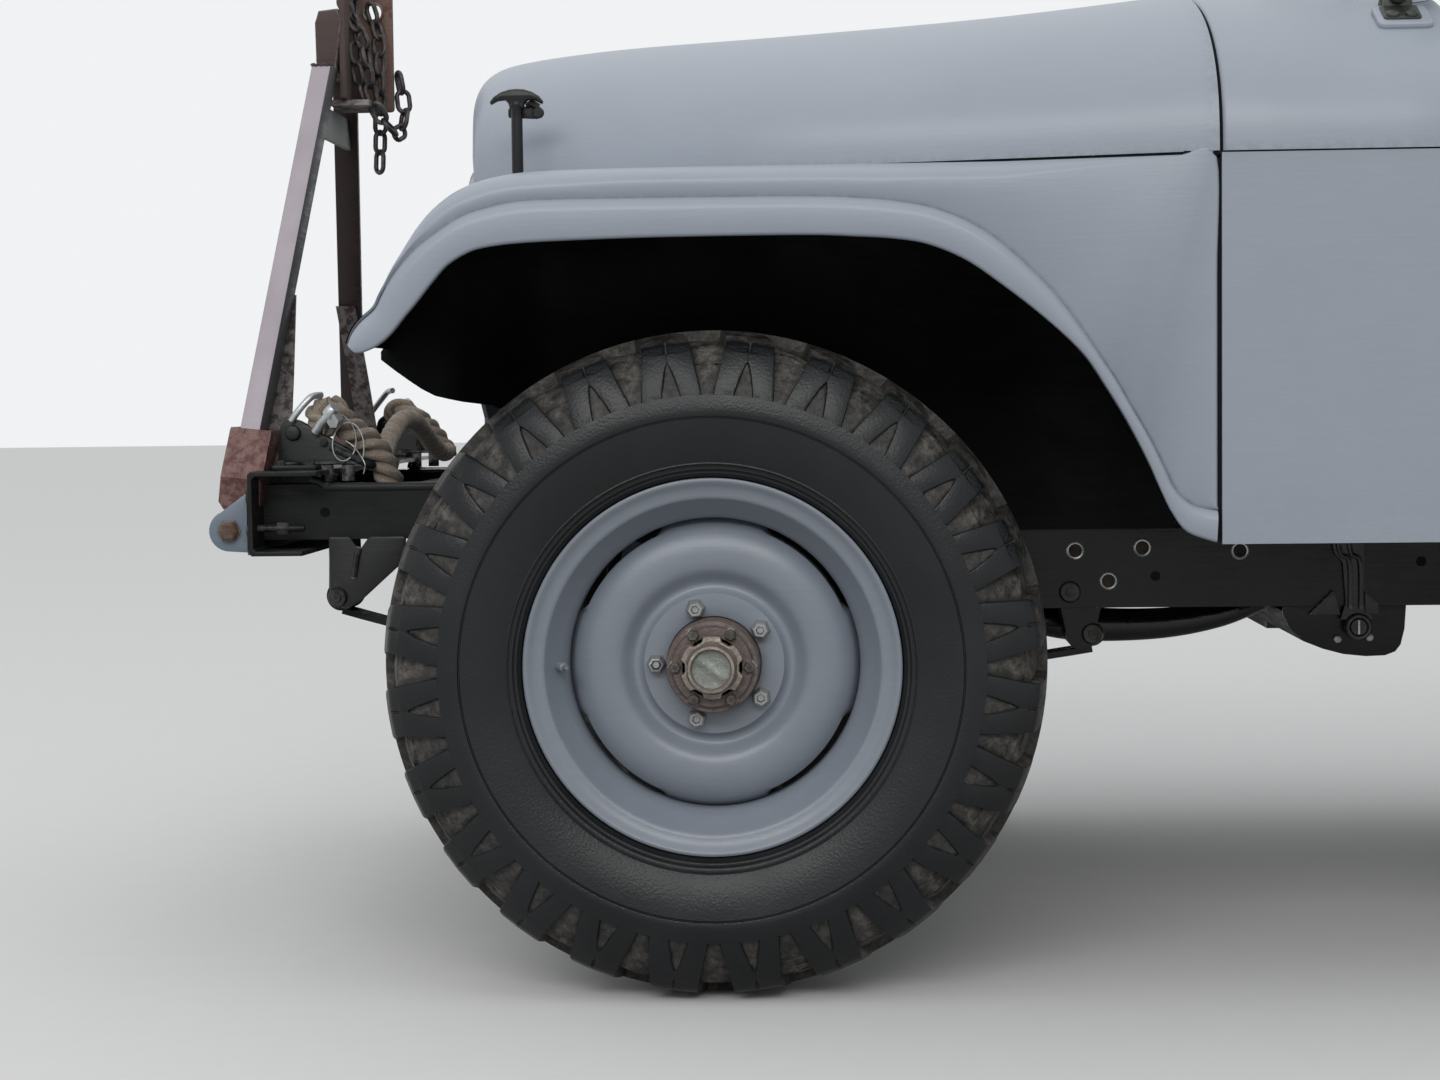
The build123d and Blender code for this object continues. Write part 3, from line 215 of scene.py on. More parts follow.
# Every hard finish: base colour, roughness and what lies on it
finishKeys = ("colour", "rough", "patch", "stroke", "coat", "rust", "grimeAndShade", "wearAndHighlight", "bump")
finishRows = {
    "bodyPaint": ((0.318, 0.352, 0.405), 0.42, 0.035, 0.012, 0.12, (9.0, 0.0), (0.3, 0.3, 0.66),
                  (0.25, (0.12, 0.13, 0.15)), 0.00035, {}),
    "wheelPaint": ((0.23, 0.258, 0.3), 0.34, 0.05, 0.02, 0.1, (9.0, 0.0), (0.18, 0.05, 0.5),
                   (0.35, (0.05, 0.055, 0.06)), 0.0004, {}),
    "earPaint": ((0.165, 0.205, 0.255), 0.42, 0.05, 0.02, 0.1, (24.0, 0.08), (0.2, 0.3, 0.6),
                 (0.4, (0.08, 0.06, 0.05)), 0.0004, {}),
    # satinBlack and castBlack: the light edge colour is partly painted highlight along the edges, partly wear
    "satinBlack": ((0.0065, 0.0074, 0.008), 0.34, 0.25, 0.1, 0.0, (14.0, 0.02), (0.1, 0.3, 0.75),
                   (0.5, (0.12, 0.12, 0.12)), 0.0004, {"shine": 0.22}),
    "castBlack": ((0.008, 0.0088, 0.0095), 0.3, 0.25, 0.1, 0.0, (14.0, 0.02), (0.1, 0.3, 0.75),
                  (1.0, (0.16, 0.16, 0.165)), 0.0005, {"shine": 0.34}),
    "dishGlass": ((0.3, 0.335, 0.3), 0.2, 0.5, 0.0, 0.3, (70.0, 0.25), (0.8, 0.05, 0.6),
                  (0.8, (0.65, 0.62, 0.5)), 0.0012, {"metal": 0.35}),
    # innerBlackShaded: near black for the arch insides, aprons and underside, darker than the frame's black:
    # black paint and painted shade
    "innerBlackShaded": ((0.0026, 0.003, 0.0036), 0.65, 0.3, 0.1, 0.0, (9.0, 0.0), (0.05, 0.3, 0.7),
                   (0.0, (0.1, 0.1, 0.1)), 0.0006, {"shine": 0.08}),
    # the three bar finishes are the lit, rear and shaded sides of the tow legs: painted light and shade, the
    # brown partly rust; their lighter edges are painted highlights
    "barLitSide": ((0.395, 0.35, 0.385), 0.42, 0.16, 0.0, 0.0, (7.0, 0.22), (0.1, 0.3, 0.6),
                 (0.5, (0.5, 0.5, 0.52)), 0.0006, {"metal": 0.15}),
    "barRustShaded": ((0.03, 0.019, 0.019), 0.5, 0.3, 0.15, 0.0, (14.0, 0.2), (0.05, 0.3, 0.6),
                 (0.6, (0.25, 0.23, 0.23)), 0.0008, {"shine": 0.3}),
    "barShadedRear": ((0.095, 0.093, 0.095), 0.5, 0.25, 0.15, 0.0, (12.0, 0.2), (0.05, 0.3, 0.6),
                (0.6, (0.35, 0.33, 0.34)), 0.0006, {"shine": 0.3}),
    "gussetGrey": ((0.3, 0.315, 0.29), 0.6, 0.25, 0.1, 0.0, (40.0, 0.25), (0.05, 0.3, 0.6),
                   (0.6, (0.5, 0.5, 0.5)), 0.0009, {"shine": 0.4}),
    "headRust": ((0.062, 0.043, 0.04), 0.5, 0.45, 0.1, 0.0, (16.0, 0.35), (0.0, 0.3, 0.6),
                 (0.7, (0.4, 0.36, 0.35)), 0.0012, {"shine": 0.4}),
    "plateRust": ((0.135, 0.08, 0.062), 0.5, 0.35, 0.2, 0.0, (20.0, 0.4), (0.0, 0.3, 0.6),
                  (0.8, (0.42, 0.38, 0.35)), 0.001, {"shine": 0.4}),
    "socketRust": ((0.09, 0.034, 0.03), 0.5, 0.3, 0.1, 0.0, (22.0, 0.3), (0.1, 0.3, 0.6),
                   (0.6, (0.28, 0.17, 0.15)), 0.001, {"shine": 0.4}),
    "boltRust": ((0.1, 0.065, 0.05), 0.6, 0.3, 0.1, 0.0, (60.0, 0.5), (0.1, 0.3, 0.6),
                 (0.8, (0.3, 0.22, 0.18)), 0.0008, {"metal": 0.3}),
    "galvanised": ((0.42, 0.44, 0.45), 0.34, 0.15, 0.05, 0.0, (30.0, 0.08), (0.1, 0.3, 0.6),
                   (0.4, (0.7, 0.7, 0.7)), 0.0005, {"metal": 0.85}),
    "nutZinc": ((0.36, 0.37, 0.37), 0.4, 0.2, 0.0, 0.0, (50.0, 0.15), (0.3, 0.05, 0.6),
                (0.5, (0.6, 0.6, 0.6)), 0.0004, {"metal": 0.7}),
    "hubRust": ((0.15, 0.112, 0.104), 0.5, 0.35, 0.0, 0.0, (45.0, 0.22), (0.5, 0.05, 0.6),
                (0.9, (0.42, 0.35, 0.32)), 0.0014, {"metal": 0.35}),
    "capMetal": ((0.33, 0.275, 0.245), 0.35, 0.4, 0.0, 0.0, (50.0, 0.22), (0.8, 0.05, 0.6),
                 (0.8, (0.6, 0.55, 0.45)), 0.0008, {"metal": 0.6}),
    "chainSteel": ((0.03, 0.026, 0.026), 0.34, 0.3, 0.0, 0.0, (40.0, 0.25), (0.0, 0.3, 0.6),
                   (0.6, (0.4, 0.38, 0.36)), 0.0006, {"metal": 0.5}),
    "castGrey": ((0.06, 0.065, 0.065), 0.6, 0.3, 0.05, 0.0, (12.0, 0.22), (0.3, 0.3, 0.8),
                 (0.5, (0.2, 0.2, 0.2)), 0.0012, {"metal": 0.2}),
    "exhaustRust": ((0.14, 0.075, 0.05), 0.7, 0.3, 0.1, 0.0, (14.0, 0.6), (0.4, 0.3, 0.8),
                    (0.2, (0.2, 0.2, 0.2)), 0.001, {"metal": 0.2}),
    "blackRubber": ((0.009, 0.009, 0.01), 0.36, 0.2, 0.05, 0.0, (9.0, 0.0), (0.1, 0.3, 0.6),
                    (0.3, (0.1, 0.1, 0.1)), 0.0003, {"shine": 0.3}),
    # darkSeamAndShade: dark joints and strips, and the painted shade in panel gaps and rail holes
    "darkSeamAndShade": ((0.008, 0.009, 0.01), 0.8, 0.2, 0.0, 0.0, (9.0, 0.0), (0.05, 0.3, 0.6),
                 (0.0, (0.1, 0.1, 0.1)), 0.0003, {"shine": 0.1}),
    "greenCast": ((0.05, 0.055, 0.045), 0.45, 0.3, 0.05, 0.0, (30.0, 0.1), (0.1, 0.3, 0.6),
                  (0.8, (0.3, 0.3, 0.27)), 0.0006, {"metal": 0.3}),
}
finishes = {name: dict(zip(finishKeys, row), **row[-1]) for name, row in finishRows.items()}


def hardFinish(name, s):
    made, tree, shader, where = blank(name)
    brush = placed(tree, "brush", {0: where, 1: s["patch"], 2: s["stroke"]})
    rust = placed(tree, "rust", {0: where, 1: s["rust"][0], 2: s["rust"][1]})
    grimeAndShade = placed(tree, "grimeAndShade", {0: where, 1: s["grimeAndShade"][0], 2: s["grimeAndShade"][1], 3: s["grimeAndShade"][2]})
    wearAndHighlight = placed(tree, "wearAndHighlight", {0: where, 1: s["wearAndHighlight"][0]})
    base = newNode(tree, "VectorMath", {0: s["colour"], "Scale": brush[0]}, operation="SCALE").outputs[0]
    # light edge colours are partly painted highlights, on the black and bar finishes
    wornAndHighlighted = mixed(tree, wearAndHighlight[0], base, colour4(s["wearAndHighlight"][1]))
    if s["rust"][1] > 0:
        wornAndHighlighted = mixed(tree, rust[0], wornAndHighlighted, rust[1])
    muddy = mixed(tree, maths(tree, "MULTIPLY", grimeAndShade[0], 0.75), wornAndHighlighted, (0.115, 0.093, 0.072, 1))
    tree.links.new(muddy, shader.inputs["Base Color"])
    rough = maths(tree, "ADD", s["rough"], maths(tree, "MULTIPLY", grimeAndShade[0], 0.35))
    rough = maths(tree, "ADD", rough, maths(tree, "MULTIPLY", maths(tree, "SUBTRACT", brush[0], 1.0), 0.9),
                  True)
    if s["rust"][1] > 0:
        rough = maths(tree, "ADD", rough, maths(tree, "MULTIPLY", rust[0], 0.25), True)
    tree.links.new(rough, shader.inputs["Roughness"])
    if s.get("metal", 0) > 0:
        clean = maths(tree, "SUBTRACT", 1.0, maths(tree, "MAXIMUM", rust[0], grimeAndShade[0]), True)
        tree.links.new(maths(tree, "MULTIPLY", clean, s["metal"]), shader.inputs["Metallic"])
    shader.inputs["Coat Weight"].default_value = s["coat"]
    shader.inputs["Specular IOR Level"].default_value = s.get("shine", 0.5)
    shader.inputs["Coat Roughness"].default_value = 0.25
    height = maths(tree, "ADD", maths(tree, "MULTIPLY", brush[1], 0.4),
                   maths(tree, "MULTIPLY", grimeAndShade[1], 1.6))
    height = maths(tree, "ADD", height, maths(tree, "MULTIPLY", rust[2], 1.2 if s["rust"][1] > 0 else 0.0))
    bumped(tree, shader, height, s["bump"], 0.8)
    return made


paints = {name: hardFinish(name, s) for name, s in finishes.items()}


def rubberFinish():
    # satin dressed rubber, brown mud where the grime attribute is high, fine mould lines on the wall
    made, tree, shader, where = blank("tyreRubber")
    grimeAndShade = newNode(tree, "Attribute", attribute_name="grimeAndShade").outputs["Fac"]
    broken = spread(tree, noise(tree, where, 42.0, 8.0, 0.75), 0.38, 0.6)
    mask = maths(tree, "MULTIPLY", grimeAndShade, maths(tree, "ADD", maths(tree, "MULTIPLY", broken, 0.85), 0.15),
                 True)
    mud = mixed(tree, spread(tree, noise(tree, where, 95.0, 6.0, 0.7), 0.38, 0.62),
                (0.048, 0.044, 0.04, 1), (0.185, 0.17, 0.148, 1))
    patch = spread(tree, noise(tree, where, 7.0, 4.0), 0.35, 0.65)
    rubber = mixed(tree, patch, (0.005, 0.0058, 0.0066, 1), (0.01, 0.0112, 0.0124, 1))
    tree.links.new(mixed(tree, mask, rubber, mud), shader.inputs["Base Color"])
    rough = maths(tree, "ADD", maths(tree, "MULTIPLY", patch, 0.1), maths(tree, "MULTIPLY", mask, 0.45))
    tree.links.new(maths(tree, "ADD", rough, 0.27, True), shader.inputs["Roughness"])
    shader.inputs["Specular IOR Level"].default_value = 0.33
    height = maths(tree, "ADD", maths(tree, "MULTIPLY", noise(tree, where, 300.0, 3.0), 0.25),
                   maths(tree, "MULTIPLY", mask, noise(tree, where, 120.0, 7.0, 0.75)))
    bumped(tree, shader, height, 0.0022, 0.9)
    return made


def ropeFinish():
    # tan fibres along each strand, with painted shade in the lay: the attribute is 0 in a groove, 1 on a
    # crown
    made, tree, shader, where = blank("ropeFibre")
    crown = newNode(tree, "Attribute", attribute_name="grimeAndShade").outputs["Fac"]
    fibre = noise(tree, scaled(tree, where, (1.0, 5.0, 1.0)), 420.0, 4.0, 0.7)
    patch = spread(tree, noise(tree, where, 30.0, 4.0), 0.35, 0.65)
    tan = mixed(tree, patch, (0.36, 0.285, 0.215, 1), (0.58, 0.49, 0.385, 1))
    dark = mixed(tree, spread(tree, fibre, 0.35, 0.65), (0.14, 0.1, 0.07, 1), tan)
    # painted shade: darker towards the lay between strands
    tree.links.new(mixed(tree, maths(tree, "POWER", crown, 0.8), (0.085, 0.062, 0.043, 1), dark),
                   shader.inputs["Base Color"])
    shader.inputs["Roughness"].default_value = 0.9
    shader.inputs["Sheen Weight"].default_value = 0.3
    bumped(tree, shader, fibre, 0.0016, 1.0)
    return made


def canvasFinish():
    # plain weave of the seat covers: two crossed waves, faded in patches
    made, tree, shader, where = blank("seatCanvas")
    parts = newNode(tree, "SeparateXYZ", {0: where}).outputs
    threads = [maths(tree, "SINE", maths(tree, "MULTIPLY", parts[i], 3300.0)) for i in (0, 1, 2)]
    weave = maths(tree, "MULTIPLY", maths(tree, "ADD", threads[0], threads[2]), threads[1])
    fade = spread(tree, noise(tree, where, 9.0, 5.0), 0.3, 0.7)
    cloth = mixed(tree, fade, (0.06, 0.066, 0.04, 1), (0.105, 0.108, 0.07, 1))
    shade = maths(tree, "ADD", maths(tree, "MULTIPLY", weave, 0.1), 0.95)
    tree.links.new(newNode(tree, "VectorMath", {0: cloth, "Scale": shade}, operation="SCALE").outputs[0],
                   shader.inputs["Base Color"])
    shader.inputs["Roughness"].default_value = 0.88
    shader.inputs["Sheen Weight"].default_value = 0.25
    height = maths(tree, "ADD", maths(tree, "MULTIPLY", weave, 0.5), noise(tree, where, 60.0, 4.0))
    bumped(tree, shader, height, 0.0008, 0.8)
    return made


def clearFinish(name, colour, rough, ribs=0.0):
    made, tree, shader, where = blank(name)
    smear = noise(tree, where, 6.0, 5.0)
    tree.links.new(mixed(tree, smear, colour4(colour), colour4([0.94 * c for c in colour])),
                   shader.inputs["Base Color"])
    tree.links.new(spread(tree, smear, 0.3, 0.7, rough, rough + 0.05), shader.inputs["Roughness"])
    shader.inputs["Transmission Weight"].default_value = 1.0
    shader.inputs["IOR"].default_value = 1.45
    if ribs:
        side = newNode(tree, "SeparateXYZ", {0: where}).outputs[1]
        wave = maths(tree, "SINE", maths(tree, "MULTIPLY", side, ribs))
        bumped(tree, shader, wave, 0.0008, 0.6)
    return made


paints["tyreRubber"] = rubberFinish()
paints["ropeFibre"] = ropeFinish()
paints["seatCanvas"] = canvasFinish()
paints["clearGlass"] = clearFinish("clearGlass", (0.93, 0.96, 0.95), 0.02)
paints["lampGlass"] = clearFinish("lampGlass", (0.95, 0.95, 0.93), 0.04, 900.0)
paints["redLens"] = clearFinish("redLens", (0.65, 0.03, 0.02), 0.12, 1200.0)
print("materials made:", len(paints))


# Shapes: a part is (points, faces, grime), and a piece joins several
def sheetFaces(rows, columns, closeRows=False, closeColumns=False):
    # each face joins a grid point with the next one along its row, and the two beside them in the next row
    i = np.arange(rows if closeRows else rows - 1)[:, None]
    j = np.arange(columns if closeColumns else columns - 1)[None, :]
    i2, j2 = (i + 1) % rows, (j + 1) % columns
    corners = [i * columns + j, i * columns + j2, i2 * columns + j2, i2 * columns + j]
    return np.stack(corners, -1).reshape(-1, 4).tolist()


def gridPart(p, closeRows=False, closeColumns=False, caps=False, grimeAndShade=0.0):
    rows, columns = p.shape[:2]
    faces = sheetFaces(rows, columns, closeRows, closeColumns)
    if caps:
        faces += [list(range(columns)), list(range((rows - 1) * columns, rows * columns))[::-1]]
    return p.reshape(-1, 3), faces, grimeAndShade


def axesOf(axis):
    n = np.asarray(axis, float) / np.linalg.norm(axis)
    a = np.cross(n, (0, 0, 1)) if abs(n[2]) < 0.9 else np.cross(n, (1, 0, 0))
    a /= np.linalg.norm(a)
    return a, np.cross(n, a), n


def lathe(profile, centre, axis, steps=48, closed=False, turn=0.0, grimeAndShade=0.0):
    # each profile point (radius, distance along the axis) goes once round the axis
    a, b, n = axesOf(axis)
    t = np.arange(steps) * tau / steps + turn
    ring = np.cos(t)[:, None] * a + np.sin(t)[:, None] * b
    p = np.asarray(profile, float)
    return gridPart(np.asarray(centre) + p[:, None, 1, None] * n + p[:, None, 0, None] * ring, closed, True,
                    grimeAndShade=grimeAndShade)


def tube(path, radius, sides=10, closed=False, up=(0, 0, 1), grimeAndShade=0.0):
    # a ring of the radius stands square to the path at each of its points
    path = np.asarray(path, float)
    along = np.roll(path, -1, 0) - np.roll(path, 1, 0) if closed else np.gradient(path, axis=0)
    along /= np.linalg.norm(along, axis=1)[:, None]
    side = np.cross(along, up)
    side /= np.linalg.norm(side, axis=1)[:, None]
    top = np.cross(side, along)
    t = np.arange(sides) * tau / sides
    ring = np.cos(t)[None, :, None] * side[:, None] + np.sin(t)[None, :, None] * top[:, None]
    return gridPart(path[:, None] + radius * ring, closed, True, not closed, grimeAndShade)


def block(low, high, grimeAndShade=0.0):
    low, high = np.minimum(low, high), np.maximum(low, high)
    x, y = (low[0], high[0], high[0], low[0]), (low[1], low[1], high[1], high[1])
    p = np.array([[(a, b, z) for a, b in zip(x, y)] for z in (low[2], high[2])], float)
    return gridPart(p, closeColumns=True, caps=True, grimeAndShade=grimeAndShade)


def bolt(centre, axis, radius, height, steps=6, grimeAndShade=0.3, turn=0.0):
    profile = [(0, height), (radius * 0.72, height), (radius, height * 0.82), (radius, 0), (0, 0)]
    return lathe(profile, centre, axis, steps, turn=turn, grimeAndShade=grimeAndShade)


def rounded(points, radius, steps=4):
    # each corner of the outline gives way to an arc-like curve between its two sides
    p = np.asarray(points, float)
    before, after = np.roll(p, 1, 0) - p, np.roll(p, -1, 0) - p
    lb, la = np.linalg.norm(before, axis=1), np.linalg.norm(after, axis=1)
    cut = np.minimum(radius, 0.45 * np.minimum(lb, la))
    a = p + before / lb[:, None] * cut[:, None]
    b = p + after / la[:, None] * cut[:, None]
    t = np.linspace(0, 1, steps + 1)[None, :, None]
    return ((1 - t) ** 2 * a[:, None] + 2 * t * (1 - t) * p[:, None] + t * t * b[:, None]).reshape(-1, 2)


def circleLine(centre, radius, steps=20):
    t = np.arange(steps) * tau / steps
    return np.stack([centre[0] + radius * np.cos(t), centre[1] + radius * np.sin(t)], 1)


def planeOf(origin, across, up):
    x, y = Vector(across).normalized(), Vector(up).normalized()
    return Matrix.Translation(origin) @ Matrix((x, y, x.cross(y))).transposed().to_4x4()


def sidePlane(y):
    return planeOf((0, y, 0), (1, 0, 0), (0, 0, 1))


def facePlane(x):
    return planeOf((x, 0, 0), (0, 1, 0), (0, 0, 1))


def meshOf(holder):
    # the object's mesh with its modifiers in it
    return bpy.data.meshes.new_from_object(holder.evaluated_get(bpy.context.evaluated_depsgraph_get()))


def plate(outlines, thickness, plane, edge=0.0012, grimeAndShade=0.0):
    # flat outlines, the first the rim and the others holes, filled and given a thickness with rounded edges
    flat = bpy.data.curves.new("flat", "CURVE")
    flat.dimensions, flat.fill_mode = "2D", "BOTH"
    flat.extrude, flat.bevel_depth, flat.bevel_resolution, flat.offset = thickness / 2 - edge, edge, 1, -edge
    for outline in outlines:
        line = flat.splines.new("POLY")
        line.points.add(len(outline) - 1)
        flatPoints = np.c_[np.asarray(outline, float), np.zeros(len(outline)), np.ones(len(outline))]
        line.points.foreach_set("co", flatPoints.ravel())
        line.use_cyclic_u = True
    holder = bpy.data.objects.new("flat", flat)
    scene.collection.objects.link(holder)
    mesh = meshOf(holder)
    mesh.transform(plane)
    points = np.array([v.co for v in mesh.vertices])
    faces = [list(f.vertices) for f in mesh.polygons]
    bpy.data.objects.remove(holder)
    bpy.data.meshes.remove(mesh)
    return points, faces, grimeAndShade


def piece(name, parts, finish, body, hides=(), bevel=0.0, segments=2, sharp=34, shell=0.0, lining=None,
          also=()):
    points = np.concatenate([p[0] for p in parts])
    faces, start = [], 0
    for p in parts:
        faces += [[i + start for i in f] for f in p[1]]
        start += len(p[0])
    grimeAndShade = np.concatenate([np.broadcast_to(p[2], len(p[0])) for p in parts])
    mesh = bpy.data.meshes.new(name)
    mesh.from_pydata(points.tolist(), [], faces)
    # the attribute holds dirt, and on the rope the painted shade in the lay
    mesh.attributes.new("grimeAndShade", "FLOAT", "POINT").data.foreach_set("value", grimeAndShade.astype(np.float32))
    work = bmesh.new()
    work.from_mesh(mesh)
    bmesh.ops.remove_doubles(work, verts=work.verts, dist=2e-6)
    bmesh.ops.dissolve_degenerate(work, edges=work.edges, dist=1e-7)
    if not shell:
        bmesh.ops.recalc_face_normals(work, faces=work.faces)
    if bevel:
        edges = [e for e in work.edges if e.is_manifold and e.calc_face_angle(0) > 0.6]
        bmesh.ops.bevel(work, geom=edges, offset=bevel, segments=segments, profile=0.5, affect="EDGES",
                        clamp_overlap=True)
    work.to_mesh(mesh)
    work.free()
    made = bpy.data.objects.new(name, mesh)
    scene.collection.objects.link(made)
    mesh.materials.append(paints[finish])
    if shell:
        wall = made.modifiers.new("wall", "SOLIDIFY")
        wall.thickness, wall.offset = shell, -1.0
        wall.use_even_offset = False
        if lining:
            mesh.materials.append(paints[lining])
            wall.material_offset = 1
        done = meshOf(made)
        made.modifiers.clear()
        made.data = done
        mesh = done
        mesh.name = name
    # faces turned towards a given way take another finish; on the tow legs this paints light and shade by
    # side
    for other, way in also:
        mesh.materials.append(paints[other])
        facing = np.zeros(len(mesh.polygons) * 3)
        mesh.polygons.foreach_get("normal", facing)
        index = np.zeros(len(mesh.polygons), int)
        mesh.polygons.foreach_get("material_index", index)
        index[facing.reshape(-1, 3) @ np.array(way, float) > 0.6] = len(mesh.materials) - 1
        mesh.polygons.foreach_set("material_index", index)
    mesh.polygons.foreach_set("use_smooth", np.ones(len(mesh.polygons), bool))
    mesh.set_sharp_from_angle(angle=math.radians(sharp))
    markWearAndHighlight(mesh)
    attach(made, body)
    if hides:
        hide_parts(*hides)
    return made


def markWearAndHighlight(mesh):
    # the edge mask, for worn edges and painted edge highlights, is how far the faces round a point turn away
    # from each other
    count = len(mesh.vertices)
    corner = np.zeros(len(mesh.loops), int)
    mesh.loops.foreach_get("vertex_index", corner)
    normals = np.zeros(len(mesh.polygons) * 3)
    mesh.polygons.foreach_get("normal", normals)
    sizes = np.zeros(len(mesh.polygons), int)
    mesh.polygons.foreach_get("loop_total", sizes)
    each = np.repeat(normals.reshape(-1, 3), sizes, 0)
    total = np.zeros((count, 3))
    np.add.at(total, corner, each)
    total /= np.maximum(np.linalg.norm(total, axis=1), 1e-9)[:, None]
    least = np.ones(count)
    np.minimum.at(least, corner, (each * total[corner]).sum(1))
    layer = mesh.attributes.get("wearAndHighlight") or mesh.attributes.new("wearAndHighlight", "FLOAT", "POINT")
    layer.data.foreach_set("value", (1 - least).astype(np.float32))


def smoothLine(points, count):
    # a curve through the points, each piece shaped by the two points beyond its ends
    p = np.asarray(points, float)
    t = np.linspace(0, len(p) - 1, count)
    i = np.minimum(t.astype(int), len(p) - 2)
    f = (t - i)[:, None]
    a, b, c, d = p[np.maximum(i - 1, 0)], p[i], p[i + 1], p[np.minimum(i + 2, len(p) - 1)]
    return 0.5 * (2 * b + (c - a) * f + (2 * a - 5 * b + 4 * c - d) * f ** 2 + (3 * b - a - 3 * c + d)
                  * f ** 3)


# Rope round the two slings: three strands that wind along the route
ropeSettings = {"radius": 0.014, "strand": 0.0079, "lay": 0.0061, "turn": 0.058, "perTurn": 12}
ropeRoute = [
    (1.594, 0.3211, 0.645), (1.591, 0.285, 0.642), (1.594, 0.238, 0.647), (1.598, 0.184, 0.662),
    (1.6, 0.128, 0.681), (1.6, 0.07, 0.694), (1.601, 0.012, 0.699), (1.6, -0.048, 0.696),
    (1.599, -0.104, 0.685), (1.597, -0.156, 0.668), (1.594, -0.204, 0.652),
    (1.591, -0.248, 0.643), (1.591, -0.287, 0.642), (1.594, -0.3211, 0.645),
]


def routeLine(points, each=24):
    # the route's own smooth curve, read back as points
    data = bpy.data.curves.new("route", "CURVE")
    data.dimensions, data.resolution_u = "3D", each
    line = data.splines.new("NURBS")
    line.points.add(len(points) - 1)
    line.points.foreach_set("co", np.c_[np.array(points), np.ones(len(points))].ravel())
    line.order_u, line.use_endpoint_u = 3, True
    holder = bpy.data.objects.new("route", data)
    scene.collection.objects.link(holder)
    mesh = meshOf(holder)
    read = np.array([v.co for v in mesh.vertices])
    bpy.data.objects.remove(holder)
    bpy.data.meshes.remove(mesh)
    return read


def evenLine(path, step):
    far = np.r_[0, np.cumsum(np.linalg.norm(np.diff(path, axis=0), axis=1))]
    want = np.linspace(0, far[-1], max(2, int(far[-1] / step)))
    return np.stack([np.interp(want, far, path[:, k]) for k in range(3)], 1), far[-1]


def strands(path, s, share=1.0):
    line, length = evenLine(path, s["turn"] / s["perTurn"])
    along = np.gradient(line, axis=0)
    along /= np.linalg.norm(along, axis=1)[:, None]
    side = np.cross(along, (1.0, 0.15, 0.3))
    side /= np.linalg.norm(side, axis=1)[:, None]
    top = np.cross(side, along)
    parts = []
    for k in range(3):
        angle = np.arange(len(line)) * tau / s["perTurn"] + k * tau / 3
        centre = line + s["lay"] * share * (np.cos(angle)[:, None] * side + np.sin(angle)[:, None] * top)
        ring = np.arange(20) * tau / 20
        out = np.cos(ring)[None, :, None] * side[:, None] + np.sin(ring)[None, :, None] * top[:, None]
        # 1 on the strand's crown, 0 in the lay: it carries the painted shade in the lay
        crown = (np.cos(ring[None] - angle[:, None]) * 0.5 + 0.5).ravel()
        # five yarns stand out of each strand, twisting against its lay
        yarn = 1 + 0.075 * np.cos(5 * (ring[None] + 1.7 * angle[:, None]))
        parts.append(gridPart(centre[:, None] + s["strand"] * share * out * yarn[:, :, None],
                              closeColumns=True, caps=True, grimeAndShade=crown))
    return parts, line, length


def makeRope(s):
    parts, line, length = strands(routeLine(ropeRoute), s)
    made = piece("rope_strands", parts, "ropeFibre", "chassis", ["rope"], sharp=80)
    knots = []
    for knot, share in ropeKnots:
        knots += strands(smoothLine(np.array(knot) + (frontX, 0, 0), 160), s, share)[0]
    tied = piece("rope_knots", knots, "ropeFibre", "chassis", sharp=80)
    print("rope length", round(float(length), 3))


# the rope's turns round each shackle, from the end of the run, and the near end's fall behind the bumper
ropeKnots = [
    ([(0.474, 0.321, 0.645), (0.5, 0.318, 0.682), (0.532, 0.322, 0.716), (0.546, 0.336, 0.706),
      (0.53, 0.346, 0.688), (0.512, 0.334, 0.704), (0.524, 0.32, 0.722)], 1.0),
    ([(0.541, 0.33, 0.7), (0.524, 0.334, 0.712), (0.5, 0.334, 0.688), (0.474, 0.33, 0.668),
      (0.456, 0.326, 0.64), (0.447, 0.322, 0.6), (0.444, 0.318, 0.56)], 1.38),
    ([(0.474, -0.321, 0.645), (0.5, -0.316, 0.682), (0.53, -0.312, 0.706), (0.556, -0.326, 0.716),
      (0.566, -0.344, 0.7), (0.548, -0.352, 0.682), (0.53, -0.338, 0.694), (0.542, -0.322, 0.712)], 1.0),
]
makeRope(ropeSettings)

